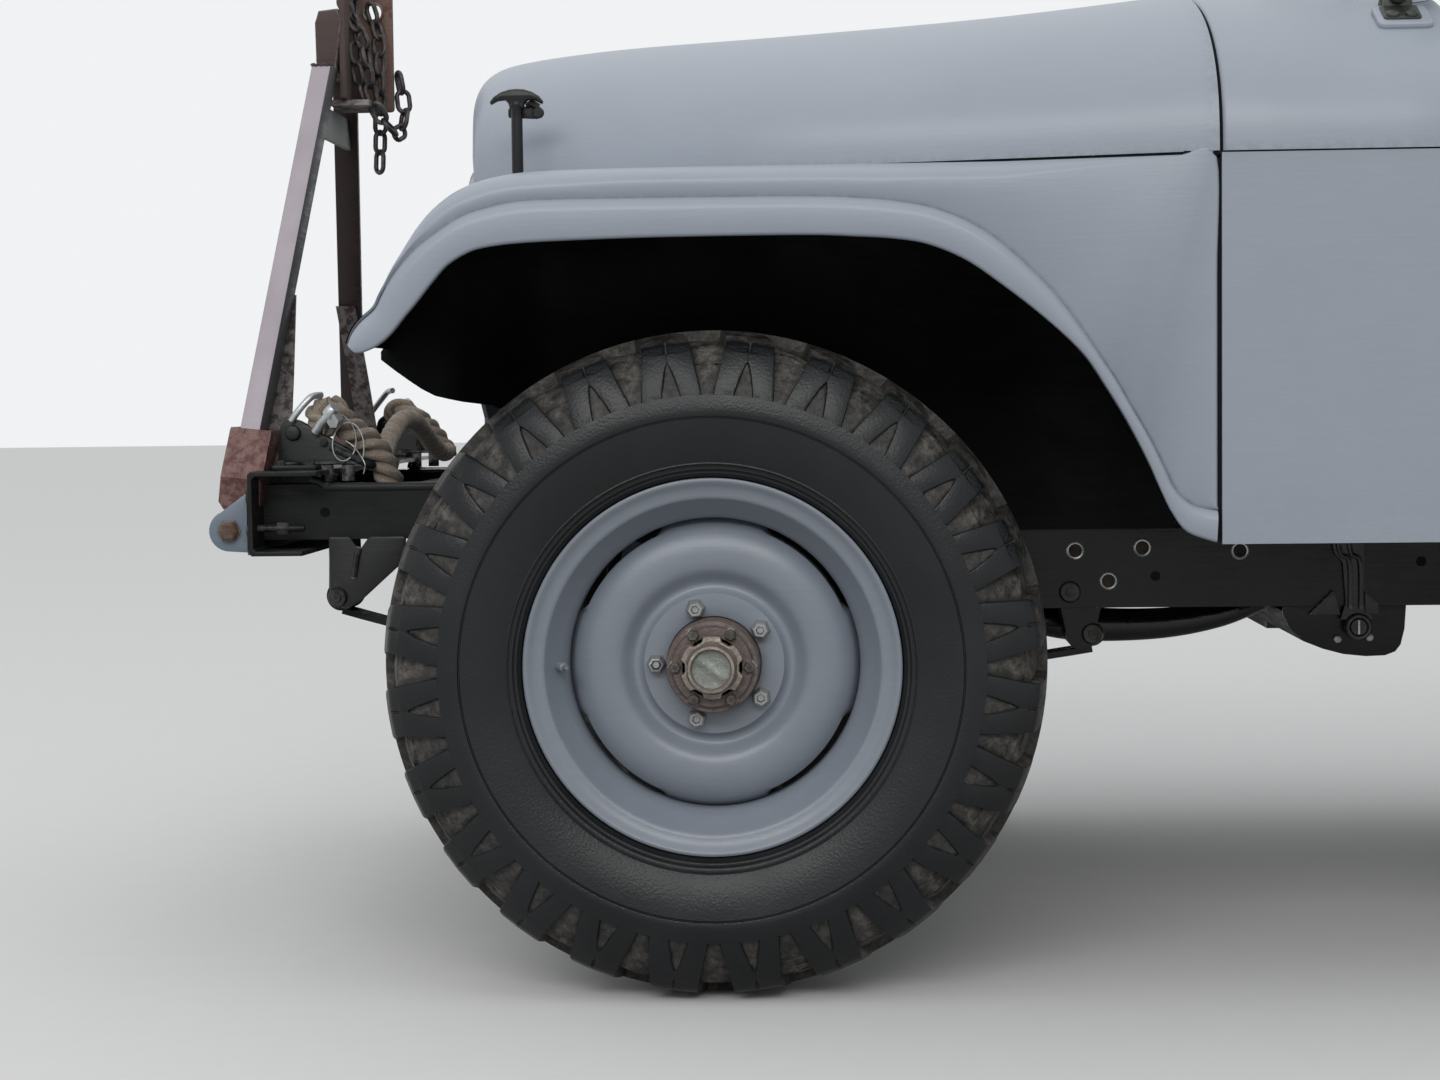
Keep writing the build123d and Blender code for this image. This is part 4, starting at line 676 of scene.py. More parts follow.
# Tyres: one closed skin, whose columns follow the edges of the lugs, notches and channels
tyreSettings = {
    "lugs": 24, "edge": 0.35, "wall": 0.28, "slant": 3.0, "rib": (0.4018, 0.0082),
    # radius and half width from the bead to the lugs: three ribs by the bead, a ring round the widest place
    "side": [(0.206, 0.06), (0.2245, 0.0606), (0.2268, 0.064), (0.2275, 0.0684), (0.2295, 0.0722),
             (0.2318, 0.0746), (0.2326, 0.0764), (0.2336, 0.0764), (0.2344, 0.0768), (0.2366, 0.0792),
             (0.2374, 0.0811), (0.2384, 0.0811), (0.2392, 0.0813), (0.2425, 0.0836), (0.2433, 0.0851),
             (0.2443, 0.0851), (0.2451, 0.0847), (0.252, 0.0882), (0.264, 0.0928), (0.276, 0.0966),
             (0.288, 0.0993), (0.2972, 0.1006), (0.2982, 0.0997), (0.299, 0.0997), (0.2999, 0.1018),
             (0.302, 0.1025), (0.307, 0.1024), (0.313, 0.1014), (0.319, 0.1001), (0.3246, 0.0987)],
    # radius, half width, tilt, channel depth, notch depth, half angles of the lug and of the notch, mud
    "tread": [(0.325, 0.0986, 14, 0.0055, 0.0045, 6.1, 2.15, 0.5),
              (0.335, 0.0962, 16, 0.0068, 0.0062, 5.8, 1.75, 0.6),
              (0.345, 0.0932, 19, 0.0088, 0.0065, 5.45, 1.3, 0.7),
              (0.355, 0.0896, 22, 0.0108, 0.0055, 5.1, 0.85, 0.85),
              (0.3625, 0.0864, 25, 0.0122, 0.0045, 4.88, 0.42, 0.95),
              (0.3652, 0.0851, 26, 0.0128, 0.0035, 4.8, 0.16, 1.0),
              (0.3658, 0.0848, 26, 0.013, 0.0, 4.78, 0.06, 1.0),
              (0.374, 0.0806, 29, 0.0142, 0.0, 4.55, 0.06, 1.0),
              (0.3768, 0.079, 31, 0.0146, 0.0, 4.5, 0.06, 1.0),
              (0.3774, 0.0786, 32, 0.0147, 0.003, 4.48, 0.28, 1.0),
              (0.383, 0.075, 35, 0.0152, 0.0035, 4.36, 0.3, 1.0),
              (0.3868, 0.0722, 41, 0.0156, 0.0035, 4.28, 0.3, 1.0),
              (0.3886, 0.0702, 52, 0.0157, 0.0035, 4.24, 0.3, 1.0),
              (0.3902, 0.0672, 62, 0.0157, 0.0, 4.2, 0.06, 1.0),
              (0.3942, 0.056, 70, 0.0157, 0.0, 4.1, 0.06, 1.0),
              (0.398, 0.04, 78, 0.0156, 0.0, 3.9, 0.06, 1.0),
              (0.4004, 0.024, 84, 0.0152, 0.0, 3.6, 0.06, 1.0),
              (0.4015, 0.01, 88, 0.0148, 0.0, 3.3, 0.06, 1.0)],
}


def makeTyre(name, centre, axis, body, s):
    a, b, n = axesOf(axis)
    pitch = 360 / s["lugs"]
    base = np.arange(s["lugs"])[:, None] * pitch
    even = np.arange(16) * pitch / 16
    random = np.random.default_rng(7)
    lumps = random.uniform(0, 1, (len(s["tread"]), s["lugs"] * 16))
    rings, grimes = [], []

    def ring(radius, half, degreesRound, grimeAndShade):
        t = np.radians(degreesRound.ravel())
        rings.append(radius[:, None] * (np.cos(t)[:, None] * a + np.sin(t)[:, None] * b) + half[:, None] * n)
        grimes.append(grimeAndShade)

    def flank(side):
        rows = []
        for k, (r, w, tilt, deep, notchDeep, half, notch, mud) in enumerate(s["tread"]):
            lean = s["slant"] * max(0.0, 1 - w / 0.072) ** 1.5
            wall, edge = s["wall"], s["edge"]
            right = np.array([0, max(notch - wall, notch * 0.3), notch, notch + edge, half - edge, half,
                              half + wall, (half + wall + pitch / 2) / 2])
            depth = np.array([notchDeep, notchDeep, 0.0005, 0, 0, 0.0006, deep, deep - 0.0006])
            dirt = np.array([0.5, 0.45, 0, 0, 0, 0, 0.35, 1]) * np.array([1, 1, 1, 1, 1, 1, mud, mud])
            if w < 0.071:
                dirt = np.maximum(dirt, 0.62 * min(1.0, (0.073 - w) / 0.006))
            offsets = np.r_[right, pitch / 2, pitch - right[:0:-1]]
            depths = np.r_[depth, deep - 0.0009, depth[:0:-1]]
            dirts = np.r_[dirt, mud, dirt[:0:-1]]
            around = base + offsets + lean * side + (pitch / 2 if side > 0 else 0.0)
            down = np.tile(depths, s["lugs"])
            down = down - np.where(down > 0.004, lumps[k] * 0.003 * mud, 0)
            t = math.radians(tilt)
            rows.append((r - down * math.sin(t), side * (w - down * math.cos(t)), around,
                         np.tile(dirts, s["lugs"])))
        return rows

    for side in (1, -1):
        turned = pitch / 2 if side > 0 else 0.0
        full = np.ones(s["lugs"] * 16)
        plain = [(full * r, side * full * w, base + even + turned, full * 0.0) for r, w in s["side"]]
        rib = (full * s["rib"][0], side * full * s["rib"][1], base + even + turned, full * 0.7)
        rows = plain + flank(side) + [rib]
        # the far side lies half a pitch on: its columns start eight later, and its rows run back to the bead
        for row in rows if side > 0 else [[np.roll(v.ravel(), -8) for v in row] for row in rows[::-1]]:
            ring(*row)
    p = np.asarray(centre) + np.array(rings)
    piece("tread_" + name, [gridPart(p, True, True, grimeAndShade=np.array(grimes).ravel())], "tyreRubber", body,
          ["tyre_" + name], sharp=32)


wheels = [("front_left", (frontX, wheelY, wheelR), (0, 1, 0), "wheel_front_left"),
          ("front_right", (frontX, -wheelY, wheelR), (0, -1, 0), "wheel_front_right"),
          ("rear_left", (rearX, wheelY, wheelR), (0, 1, 0), "wheel_rear_left"),
          ("rear_right", (rearX, -wheelY, wheelR), (0, -1, 0), "wheel_rear_right"),
          ("spare", (-1.692, -0.33, 0.975), (-1, 0, 0), "chassis")]
for name, centre, axis, body in wheels:
    makeTyre(name, centre, axis, body, tyreSettings)
print("tyres made")

# Wheels: a drop-centre rim and a dished disc whose edge is cut back in four places
rimSettings = {
    "rim": [(0.2245, 0.07), (0.2262, 0.069), (0.2262, 0.066), (0.2235, 0.0625), (0.2165, 0.06),
            (0.208, 0.0585), (0.2055, 0.056), (0.202, 0.05), (0.1965, 0.04), (0.189, 0.029), (0.183, 0.018),
            (0.182, -0.018), (0.19, -0.024), (0.205, -0.034), (0.208, -0.0585), (0.2165, -0.06),
            (0.2235, -0.0625), (0.2262, -0.066), (0.2262, -0.069), (0.2245, -0.07), (0.22, -0.068),
            (0.203, -0.062), (0.2, -0.056), (0.2, -0.037), (0.185, -0.027), (0.1768, -0.02), (0.1765, 0.01),
            (0.1785, 0.02), (0.1845, 0.031), (0.1915, 0.041), (0.197, 0.051), (0.2005, 0.058),
            (0.2025, 0.0604), (0.206, 0.0612), (0.212, 0.0626), (0.2175, 0.0658), (0.221, 0.0694),
            (0.2228, 0.0702)],
    "disc": [(0.057, 0.012), (0.0575, 0.015), (0.06, 0.0158), (0.0835, 0.0158), (0.0848, 0.0156),
             (0.0858, 0.014), (0.088, 0.0108), (0.0915, 0.0078), (0.095, 0.0066), (0.0985, 0.0076),
             (0.103, 0.0112), (0.108, 0.016), (0.113, 0.0196), (0.12, 0.0222), (0.129, 0.0232),
             (0.138, 0.0226), (0.147, 0.0204), (0.156, 0.0168), (0.163, 0.0126), (0.1685, 0.0078),
             (0.1712, 0.0038), (0.1728, -0.0015), (0.1752, -0.0055), (0.1768, -0.0098)],
    "cutAngles": (45, 135, 225, 315), "cutHalf": 23.8, "cutDepth": 0.0052, "wall": 0.005,
}


def discPart(s, centre, axis, steps=160):
    a, b, n = axesOf(axis)
    t = np.arange(steps) * tau / steps
    deg = np.degrees(t)
    near = np.min([np.abs((deg - c + 180) % 360 - 180) for c in s["cutAngles"]], 0)
    cut = np.clip((s["cutHalf"] - near) / 2.2, 0, 1)
    rows = []
    for r, out in s["disc"]:
        edge = 0.1735 - s["cutDepth"]
        pulled = np.where(r > edge, edge + (r - edge) * 0.12, r)
        rr = r + (pulled - r) * cut
        dip = out - np.where(r > edge, (r - edge) * 1.4, 0) * cut
        rows.append(rr[:, None] * (np.cos(t)[:, None] * a + np.sin(t)[:, None] * b) + dip[:, None] * n)
    front = np.asarray(centre) + np.array(rows)
    back = front - s["wall"] * n
    return gridPart(np.concatenate([front, back[::-1]]), True, True, grimeAndShade=0.0)


def makeWheel(name, centre, axis, body, s, hub=True):
    parts = [lathe(s["rim"], centre, axis, 128, closed=True), discPart(s, centre, axis)]
    a, _, n = axesOf(axis)
    c = np.asarray(centre, float)
    valve = -np.cross(n, (0, 0, 1)) if abs(n[2]) < 0.9 else a
    if name == "front_left":
        valve = np.array((1.0, 0, 0))
    parts.append(lathe([(0, 0.034), (0.0028, 0.034), (0.0033, 0.028), (0.0055, 0.026), (0.006, 0.008),
                        (0.009, 0.004), (0.009, 0)], c + valve * 0.1925 + n * 0.024, n * 0.85 - valve * 0.5,
                       12, grimeAndShade=0.6))
    piece("rim_" + name, parts, "wheelPaint", body, ["wheel_" + name], sharp=40)
    nuts, studs = [], []
    for k in range(5):
        turn = k * tau / 5
        spot = c + boltCircle * (math.cos(turn) * valve + math.sin(turn) * np.cross(n, valve)) + n * 0.0158
        nuts.append(lathe([(0.0052, 0.015), (0.0085, 0.015), (0.0107, 0.0128), (0.0109, 0.0035),
                           (0.0125, 0.0015), (0.0128, 0)], spot, n, 6, turn=0.3 * k, grimeAndShade=0.25))
        nuts.append(lathe([(0.0052, 0.015), (0.005, 0.004)], spot, n, 12))
        studs.append(lathe([(0, 0.012), (0.004, 0.012), (0.0046, 0.0105), (0.0046, 0)], spot, n, 12,
                           grimeAndShade=0.2))
    piece("nuts_" + name, nuts + studs, "nutZinc", body, sharp=30)
    if hub:
        makeHub(name, c, n, body)


def makeHub(name, c, n, body):
    flange = [(0, 0.042), (0.04, 0.042), (0.0535, 0.043), (0.0555, 0.045), (0.0555, 0.052), (0.0545, 0.0535),
              (0.05, 0.054), (0.049, 0.0552), (0.0485, 0.0585), (0.047, 0.06), (0.038, 0.0605), (0.036, 0.06)]
    back = [(0.054, 0.006), (0.0565, 0.016), (0.0565, 0.024), (0.0545, 0.027), (0.0545, 0.0345),
            (0.056, 0.036), (0.056, 0.0405), (0.054, 0.042), (0.02, 0.042)]
    parts = [lathe(flange, c, n, 72, grimeAndShade=0.4), lathe(back, c, n, 60, grimeAndShade=0.6),
             lathe([(0.125, -0.038), (0.125, -0.016), (0.118, -0.008), (0.086, 0.0085), (0.054, 0.0085)], c,
                   n, 60, grimeAndShade=0.5)]
    a, b, _ = axesOf(n)
    bolts = []
    for k in range(6):
        turn = k * tau / 6
        spot = c + 0.0445 * (math.cos(turn) * a + math.sin(turn) * b) + n * 0.0575
        bolts.append(lathe([(0, 0.008), (0.0058, 0.008), (0.0074, 0.0062), (0.0076, 0.0012),
                            (0.0092, 0.0008), (0.0092, -0.002)], spot, n, 6, turn=0.4 * k, grimeAndShade=0.5))
    piece("drive_flange_" + name, parts, "hubRust", body, sharp=30)
    piece("flange_bolts_" + name, bolts, "chainSteel", body, sharp=30)
    # cap: a six-lobed rim whose radius falls to each bolt, round a dished face with a slanting ridge
    t = np.arange(96) * tau / 96
    lobe = 0.0385 - 0.0058 * np.clip(np.cos(6 * t) * 1.6, 0, 1)
    ring = np.cos(t)[:, None] * a + np.sin(t)[:, None] * b
    rows = []
    for share, high in [(1.0, 0.0555), (1.0, 0.0655), (0.97, 0.0675), (0.86, 0.0682), (0.8, 0.072),
                        (0.79, 0.087), (0.76, 0.0895), (0.68, 0.09), (0.64, 0.088), (0.62, 0.0845)]:
        mixShare = np.clip((share - 0.78) / 0.2, 0, 1)
        rr = (lobe * mixShare + 0.0365 * (1 - mixShare)) * share
        rows.append(rr[:, None] * ring + high * n)
    rim, rows = rows, []
    for share in (0.625, 0.52, 0.42, 0.32, 0.22, 0.12, 0.0):
        rr = 0.0365 * share * np.ones(96)
        across = rr * np.cos(t - 0.9)
        ridge = 0.003 * np.exp(-(across / 0.0055) ** 2)
        rows.append(rr[:, None] * ring + (0.0815 + ridge + 0.002 * share)[:, None] * n)
    rows[0] = rim[-1]
    piece("hub_cap_" + name, [gridPart(c + np.array(rim), closeColumns=True, grimeAndShade=0.35)], "capMetal", body,
          sharp=30)
    piece("hub_dish_" + name, [gridPart(c + np.array(rows), closeColumns=True, grimeAndShade=0.25)], "dishGlass",
          body, sharp=30)


for name, centre, axis, body in wheels:
    makeWheel(name, centre, axis, body, rimSettings, hub=name != "spare")
print("wheels made")

# Fenders: crown, crease, arch band and turned lip, from three lines in side view (mm from the front axle)
fenderLines = {
    "crest": [(418, 790), (413, 805), (403, 819), (388, 834), (379, 850), (368, 875), (355, 900), (339, 926),
              (318, 950), (290, 970), (250, 984), (190, 991), (46, 993), (-112, 993), (-190, 993),
              (-245, 993), (-310, 993), (-370, 993), (-430, 993), (-490, 993), (-545, 993), (-586, 992),
              (-587, 860), (-587, 740), (-587, 660), (-587, 620), (-587, 600), (-587, 590)],
    "crease": [(416, 790), (411, 803), (401, 816), (384, 831), (375, 848), (361, 871), (337, 898),
               (312, 917), (285, 934), (257, 944), (216, 952), (160, 954), (46, 954), (-112, 953),
               (-180, 950), (-226, 945), (-268, 936), (-310, 918), (-352, 888), (-409, 830), (-465, 749),
               (-490, 706), (-511, 669), (-527, 636), (-539, 611), (-556, 595), (-573, 589), (-587, 587)],
    "lip": [(407, 780), (398, 780), (381, 787), (365, 800), (349, 819), (331, 840), (314, 861), (296, 880),
            (269, 895), (240, 901), (205, 904), (150, 906), (46, 908), (-112, 908), (-180, 905), (-220, 902),
            (-258, 895), (-300, 877), (-339, 850), (-387, 812), (-432, 770), (-460, 729), (-484, 689),
            (-506, 646), (-523, 607), (-535, 583), (-552, 562), (-585, 550)],
    "hoodX": (-0.589, -0.35, -0.1), "hoodY": (0.7595, 0.703, 0.645),
    "columns": 164, "skinY": 0.7565, "creaseY": 0.753, "wall": 0.003,
}


def makeFender(name, side, s):
    crest, crease, lip = (smoothLine(np.array(s[k]) / 1000, s["columns"]) for k in ("crest", "crease", "lip"))
    for line in (crest, crease, lip):
        line[:, 0] += frontX
    along = np.gradient(crest, axis=0)
    along /= np.linalg.norm(along, axis=1)[:, None]
    inward = np.stack([-along[:, 1], along[:, 0]], 1)
    gap = np.linalg.norm(crest - crease, axis=1)
    down = lip - crease
    band = np.linalg.norm(down, axis=1)
    down /= band[:, None]
    # 1 on the crown, 0 down the rear seam
    seam = np.clip((s["columns"] * 20.6 / 27 - np.arange(s["columns"])) / 3, 0, 1)
    # the crown's rounding takes only what the hood's side, which widens towards the cowl, leaves free
    free = s["skinY"] - np.interp(crest[:, 0] - frontX, s["hoodX"], s["hoodY"])
    ry = np.clip(free, 0.0045, 0.055) * seam + 0.004 * (1 - seam)
    rn = np.minimum(0.44 * ry * seam + 0.004 * (1 - seam), 0.55 * gap)
    rows = []
    for y in (0.47, 0.56, 0.64, 0.69):
        rows.append((crest, np.full(len(crest), y)))
    for turn in np.radians((0, 15, 30, 45, 60, 75, 90)):
        rows.append((crest + inward * (rn * (1 - math.cos(turn)))[:, None], s["skinY"]
                     - ry * (1 - math.sin(turn))))
    step = np.minimum(0.006, 0.25 * gap)
    rows.append((crease - down * step[:, None], np.full(len(crest), s["skinY"] - 0.0008)))
    rows.append((crease, np.full(len(crest), s["creaseY"])))
    for share, y in ((0.035, 0.756), (0.1, 0.76), (0.2, 0.763), (0.33, 0.7642), (0.6, 0.7645), (0.9, 0.764),
                     (0.97, 0.763), (1.0, 0.7605)):
        rows.append((crease + down * (band * share)[:, None], np.full(len(crest), y)))
    rows.append((lip - down * 0.0006, np.full(len(crest), 0.754)))
    rows.append((lip - down * 0.0015, np.full(len(crest), 0.745)))
    p = np.stack([np.stack([line[:, 0], side * y, line[:, 1]], 1) for line, y in rows])
    if side < 0:
        p = p[:, ::-1]
    # the skin's inside faces take the near black: painted shade in the arch
    piece("fender_skin_" + name, [gridPart(p[:, ::-1])], "bodyPaint", "chassis",
          ["fender_" + name], sharp=60, shell=s["wall"], lining="innerBlackShaded")
    # inner apron: leans in from the fender's inner edge to the frame, its lower edge rising to the nose
    x = np.linspace(-0.586, 0.425, 60)
    lowZ = np.interp(x, (-0.586, -0.2, -0.12, 0.18, 0.25, 0.287, 0.325, 0.363, 0.401, 0.425),
                     (0.546, 0.546, 0.62, 0.625, 0.69, 0.716, 0.722, 0.731, 0.757, 0.776))
    order = np.argsort(crest[:, 0])
    highZ = np.interp(x + frontX, crest[order, 0][crest[order, 1] > 0.78],
                      crest[order, 1][crest[order, 1] > 0.78]) - 0.004
    highZ = np.where(x < -0.5, 0.989, highZ)
    rows = []
    for share in np.linspace(0, 1, 9):
        z = highZ + (lowZ - highZ) * share
        lean = np.interp(z, (0.546, 0.62, 0.99), (0.3745, 0.377, 0.474))
        y = lean + (0.5 - lean) * np.clip((x - 0.235) / 0.1, 0, 1)
        rows.append(np.stack([x + frontX, side * y, z], 1))
    p = np.stack(rows)
    # the apron's near black is partly painted shade
    piece("fender_apron_" + name, [gridPart(p if side > 0 else p[:, ::-1])], "innerBlackShaded", "chassis",
          sharp=60, shell=0.003)


makeFender("left", 1, fenderLines)
makeFender("right", -1, fenderLines)
print("fenders made")

# Hood and cowl share one arched section: flat-sided low down, rounder at the shoulder
hoodSettings = {
    # x from the front axle, half width, height of the crown, and how far back the row bows half a metre out
    "stations": [(-0.589, 0.7595, 1.251, 0), (-0.35, 0.703, 1.229, 0), (-0.1, 0.645, 1.2145, 0),
                 (0.1, 0.572, 1.2075, 0), (0.2, 0.535, 1.2005, 0.002), (0.265, 0.511, 1.193, 0.012),
                 (0.3, 0.498, 1.1855, 0.022), (0.322, 0.49, 1.1745, 0.032), (0.336, 0.485, 1.16, 0.04),
                 (0.344, 0.482, 1.14, 0.044), (0.347, 0.481, 1.112, 0.046), (0.348, 0.48, 1.06, 0.046)],
    "foot": 0.9965, "power": 2.45, "rows": 78,
}
cowlSettings = {"front": -0.5985, "rear": -0.872, "half": 0.7565, "top": 1.249, "foot": 0.9965, "power": 2.45}


def archSection(half, foot, top, power, turns):
    # a rounded arch: the two powers keep its sides upright and its shoulder round
    c, s = np.cos(turns), np.sin(turns)
    y = half * np.sign(c) * np.abs(c) ** (2 / power)
    return y, foot + (top - foot) * np.abs(s) ** (2 / power)


def makeHood(s):
    turns = np.concatenate([np.linspace(0, 0.35, 14), np.linspace(0.35, math.pi - 0.35, 52)[1:-1],
                            np.linspace(math.pi - 0.35, math.pi, 14)])
    rows = []
    for x, half, top, bow in smoothLine(s["stations"], s["rows"]):
        y, z = archSection(half, s["foot"], top, s["power"], turns)
        rows.append(np.stack([x - bow * (y / 0.5) ** 2 + frontX, y, z], 1))
    piece("hood_skin", [gridPart(np.stack(rows))], "bodyPaint", "hood", ["hood"], sharp=50,
          shell=0.0022)
    # the strip that the hood's lower edge rests on
    strips = []
    for side in (1, -1):
        line = np.array([(x - bow * (half / 0.5) ** 2 + frontX, side * (half - 0.004), 0.9938)
                         for x, half, top, bow in s["stations"][:8]])
        strips.append(tube(line, 0.0028, 6))
    piece("hood_rest", strips, "darkSeamAndShade", "chassis", sharp=50)


def makeCowl(s):
    turns = np.linspace(0, math.pi, 91)
    rows = []
    for x, drop in ((s["front"] + 0.0045, 0.01), (s["front"] + 0.0042, 0.004), (s["front"] + 0.0025, 0.001),
                    (s["front"], 0.0), (-0.66, 0.0), (-0.73, 0.0), (-0.8, 0.0), (s["rear"] + 0.004, 0.0),
                    (s["rear"], 0.001), (s["rear"], 0.006), (s["rear"], 0.03)):
        y, z = archSection(s["half"] - drop, s["foot"], s["top"] - drop, s["power"], turns)
        rows.append(np.stack([np.full(len(y), x + frontX), y, z], 1))
    piece("cowl_skin", [gridPart(np.stack(rows))], "bodyPaint", "chassis", ["cowl"], sharp=50,
          shell=0.0022)
    # rubber strip in the joint between the hood and the cowl, and dark strips behind the panel joints:
    # painted shade in their gaps
    y, z = archSection(s["half"] - 0.0055, s["foot"], s["top"] - 0.006, s["power"], turns)
    strips = [tube(np.stack([np.full(len(y), -0.5935 + frontX), y, z], 1), 0.0042, 8, up=(1, 0, 0))]
    for side in (1, -1):
        # painted shade: dark strips standing for the gaps between the panels
        strips.append(block((frontX - 0.594, side * 0.748, 0.552), (frontX - 0.586, side * 0.752, 0.994)))
        strips.append(block((frontX - 0.905, side * 0.75, 0.9935), (frontX - 0.592, side * 0.7555, 0.9972)))
        strips.append(block((frontX - 0.59, side * 0.745, 0.989), (frontX - 0.55, side * 0.752, 0.9972)))
    piece("body_joints", strips, "darkSeamAndShade", "chassis", sharp=40)
    lines = []
    for side in (1, -1):
        zz = np.linspace(0.9975, 1.205, 16)
        share = np.clip((zz - s["foot"]) / (s["top"] - s["foot"]), 0, 1)
        yy = s["half"] * (1 - share ** s["power"]) ** (1 / s["power"])
        xx = np.interp(zz, (0.9975, 1.05, 1.11, 1.16, 1.205), (-0.8095, -0.826, -0.8425, -0.851, -0.855))
        lines.append(tube(np.stack([xx + frontX, side * (yy - 0.0002), zz], 1), 0.0013, 6))
    piece("cowl_side_joint", lines, "darkSeamAndShade", "chassis")


makeHood(hoodSettings)
makeCowl(cowlSettings)
print("hood and cowl made")

# Bumper: a folded channel with rounded corners, its brackets and bolts
bumperSettings = {"face": 0.616, "top": 0.634, "low": 0.524, "half": 0.436, "wall": 0.006, "deepTop": 0.092,
                  "deepLow": 0.07}


def makeBumper(s):
    f, t, l, w = s["face"] + frontX, s["top"], s["low"], s["wall"]
    outline = [(f - s["deepTop"], t), (f - 0.004, t), (f, t - 0.004), (f, l + 0.004), (f - 0.004, l),
               (f - s["deepLow"], l), (f - s["deepLow"], l + w), (f - w - 0.004, l + w),
               (f - w, l + w + 0.004), (f - w, t - w - 0.004), (f - w - 0.004, t - w),
               (f - s["deepTop"], t - w)]
    parts = [plate([outline], 2 * s["half"], sidePlane(0), 0.0012)]
    for side in (1, -1):
        for y, z in ((0.33, 0.6), (0.33, 0.556), (0.415, 0.6), (0.415, 0.556)):
            parts.append(bolt((f, side * y, z), (1, 0, 0), 0.0085, 0.006))
            if y < 0.4:
                parts.append(bolt((f - w, side * y, z), (-1, 0, 0), 0.0085, 0.012))
        parts.append(bolt((f - 0.033, side * 0.405, 0.559), (-1, 0, 0), 0.0088, 0.015))
        parts.append(lathe([(0, 0.034), (0.004, 0.034), (0.0046, 0.032), (0.0046, -0.034), (0, -0.034)],
                           (f - 0.034, side * 0.405, 0.559), (-1, 0, 0), 12))
    piece("bumper_channel", parts, "satinBlack", "chassis", ["front_bumper"], sharp=40)


makeBumper(bumperSettings)

# Ears and slings on the bumper
towSettings = {"pivotX": 0.648, "pivotZ": 0.556, "pivotY": 0.376, "lean": 6.3, "foot": 0.052, "bend": 0.69,
               "headY": 0.048, "tube": 0.036}


def makeEars(s):
    x0, z0 = s["pivotX"] + frontX, s["pivotZ"]
    nose = [(x0 + 0.027 * math.cos(t), z0 + 0.027 * math.sin(t))
            for t in np.radians(np.linspace(-90, 68, 14))]
    outline = nose + [(frontX + 0.624, 0.606), (frontX + 0.6165, 0.6), (frontX + 0.6165, 0.527)]
    parts, bolts = [], []
    for side in (1, -1):
        for across in (1, -1):
            y = side * s["pivotY"] + across * 0.0255
            parts.append(plate([outline, circleLine((x0, z0), 0.0098)], 0.009, sidePlane(y), 0.0012))
        parts.append(block((frontX + 0.6163, side * 0.376 - 0.03, 0.524),
                           (frontX + 0.624, side * 0.376 + 0.03, 0.604)))
        for across in (1, -1):
            y = side * 0.376 + across * 0.03
            bolts.append(lathe([(0, 0.0125), (0.0105, 0.0125), (0.0135, 0.0105), (0.0138, 0.0022),
                                (0.016, 0.0018), (0.016, 0)], (x0, y, z0), (0, across, 0),
                               6 if across * side > 0 else 16, grimeAndShade=0.3))
    piece("ear_plates", parts, "earPaint", "chassis", ["tow_bar_ears"], sharp=40)
    piece("ear_bolts", bolts, "boltRust", "tow_bar", sharp=30)


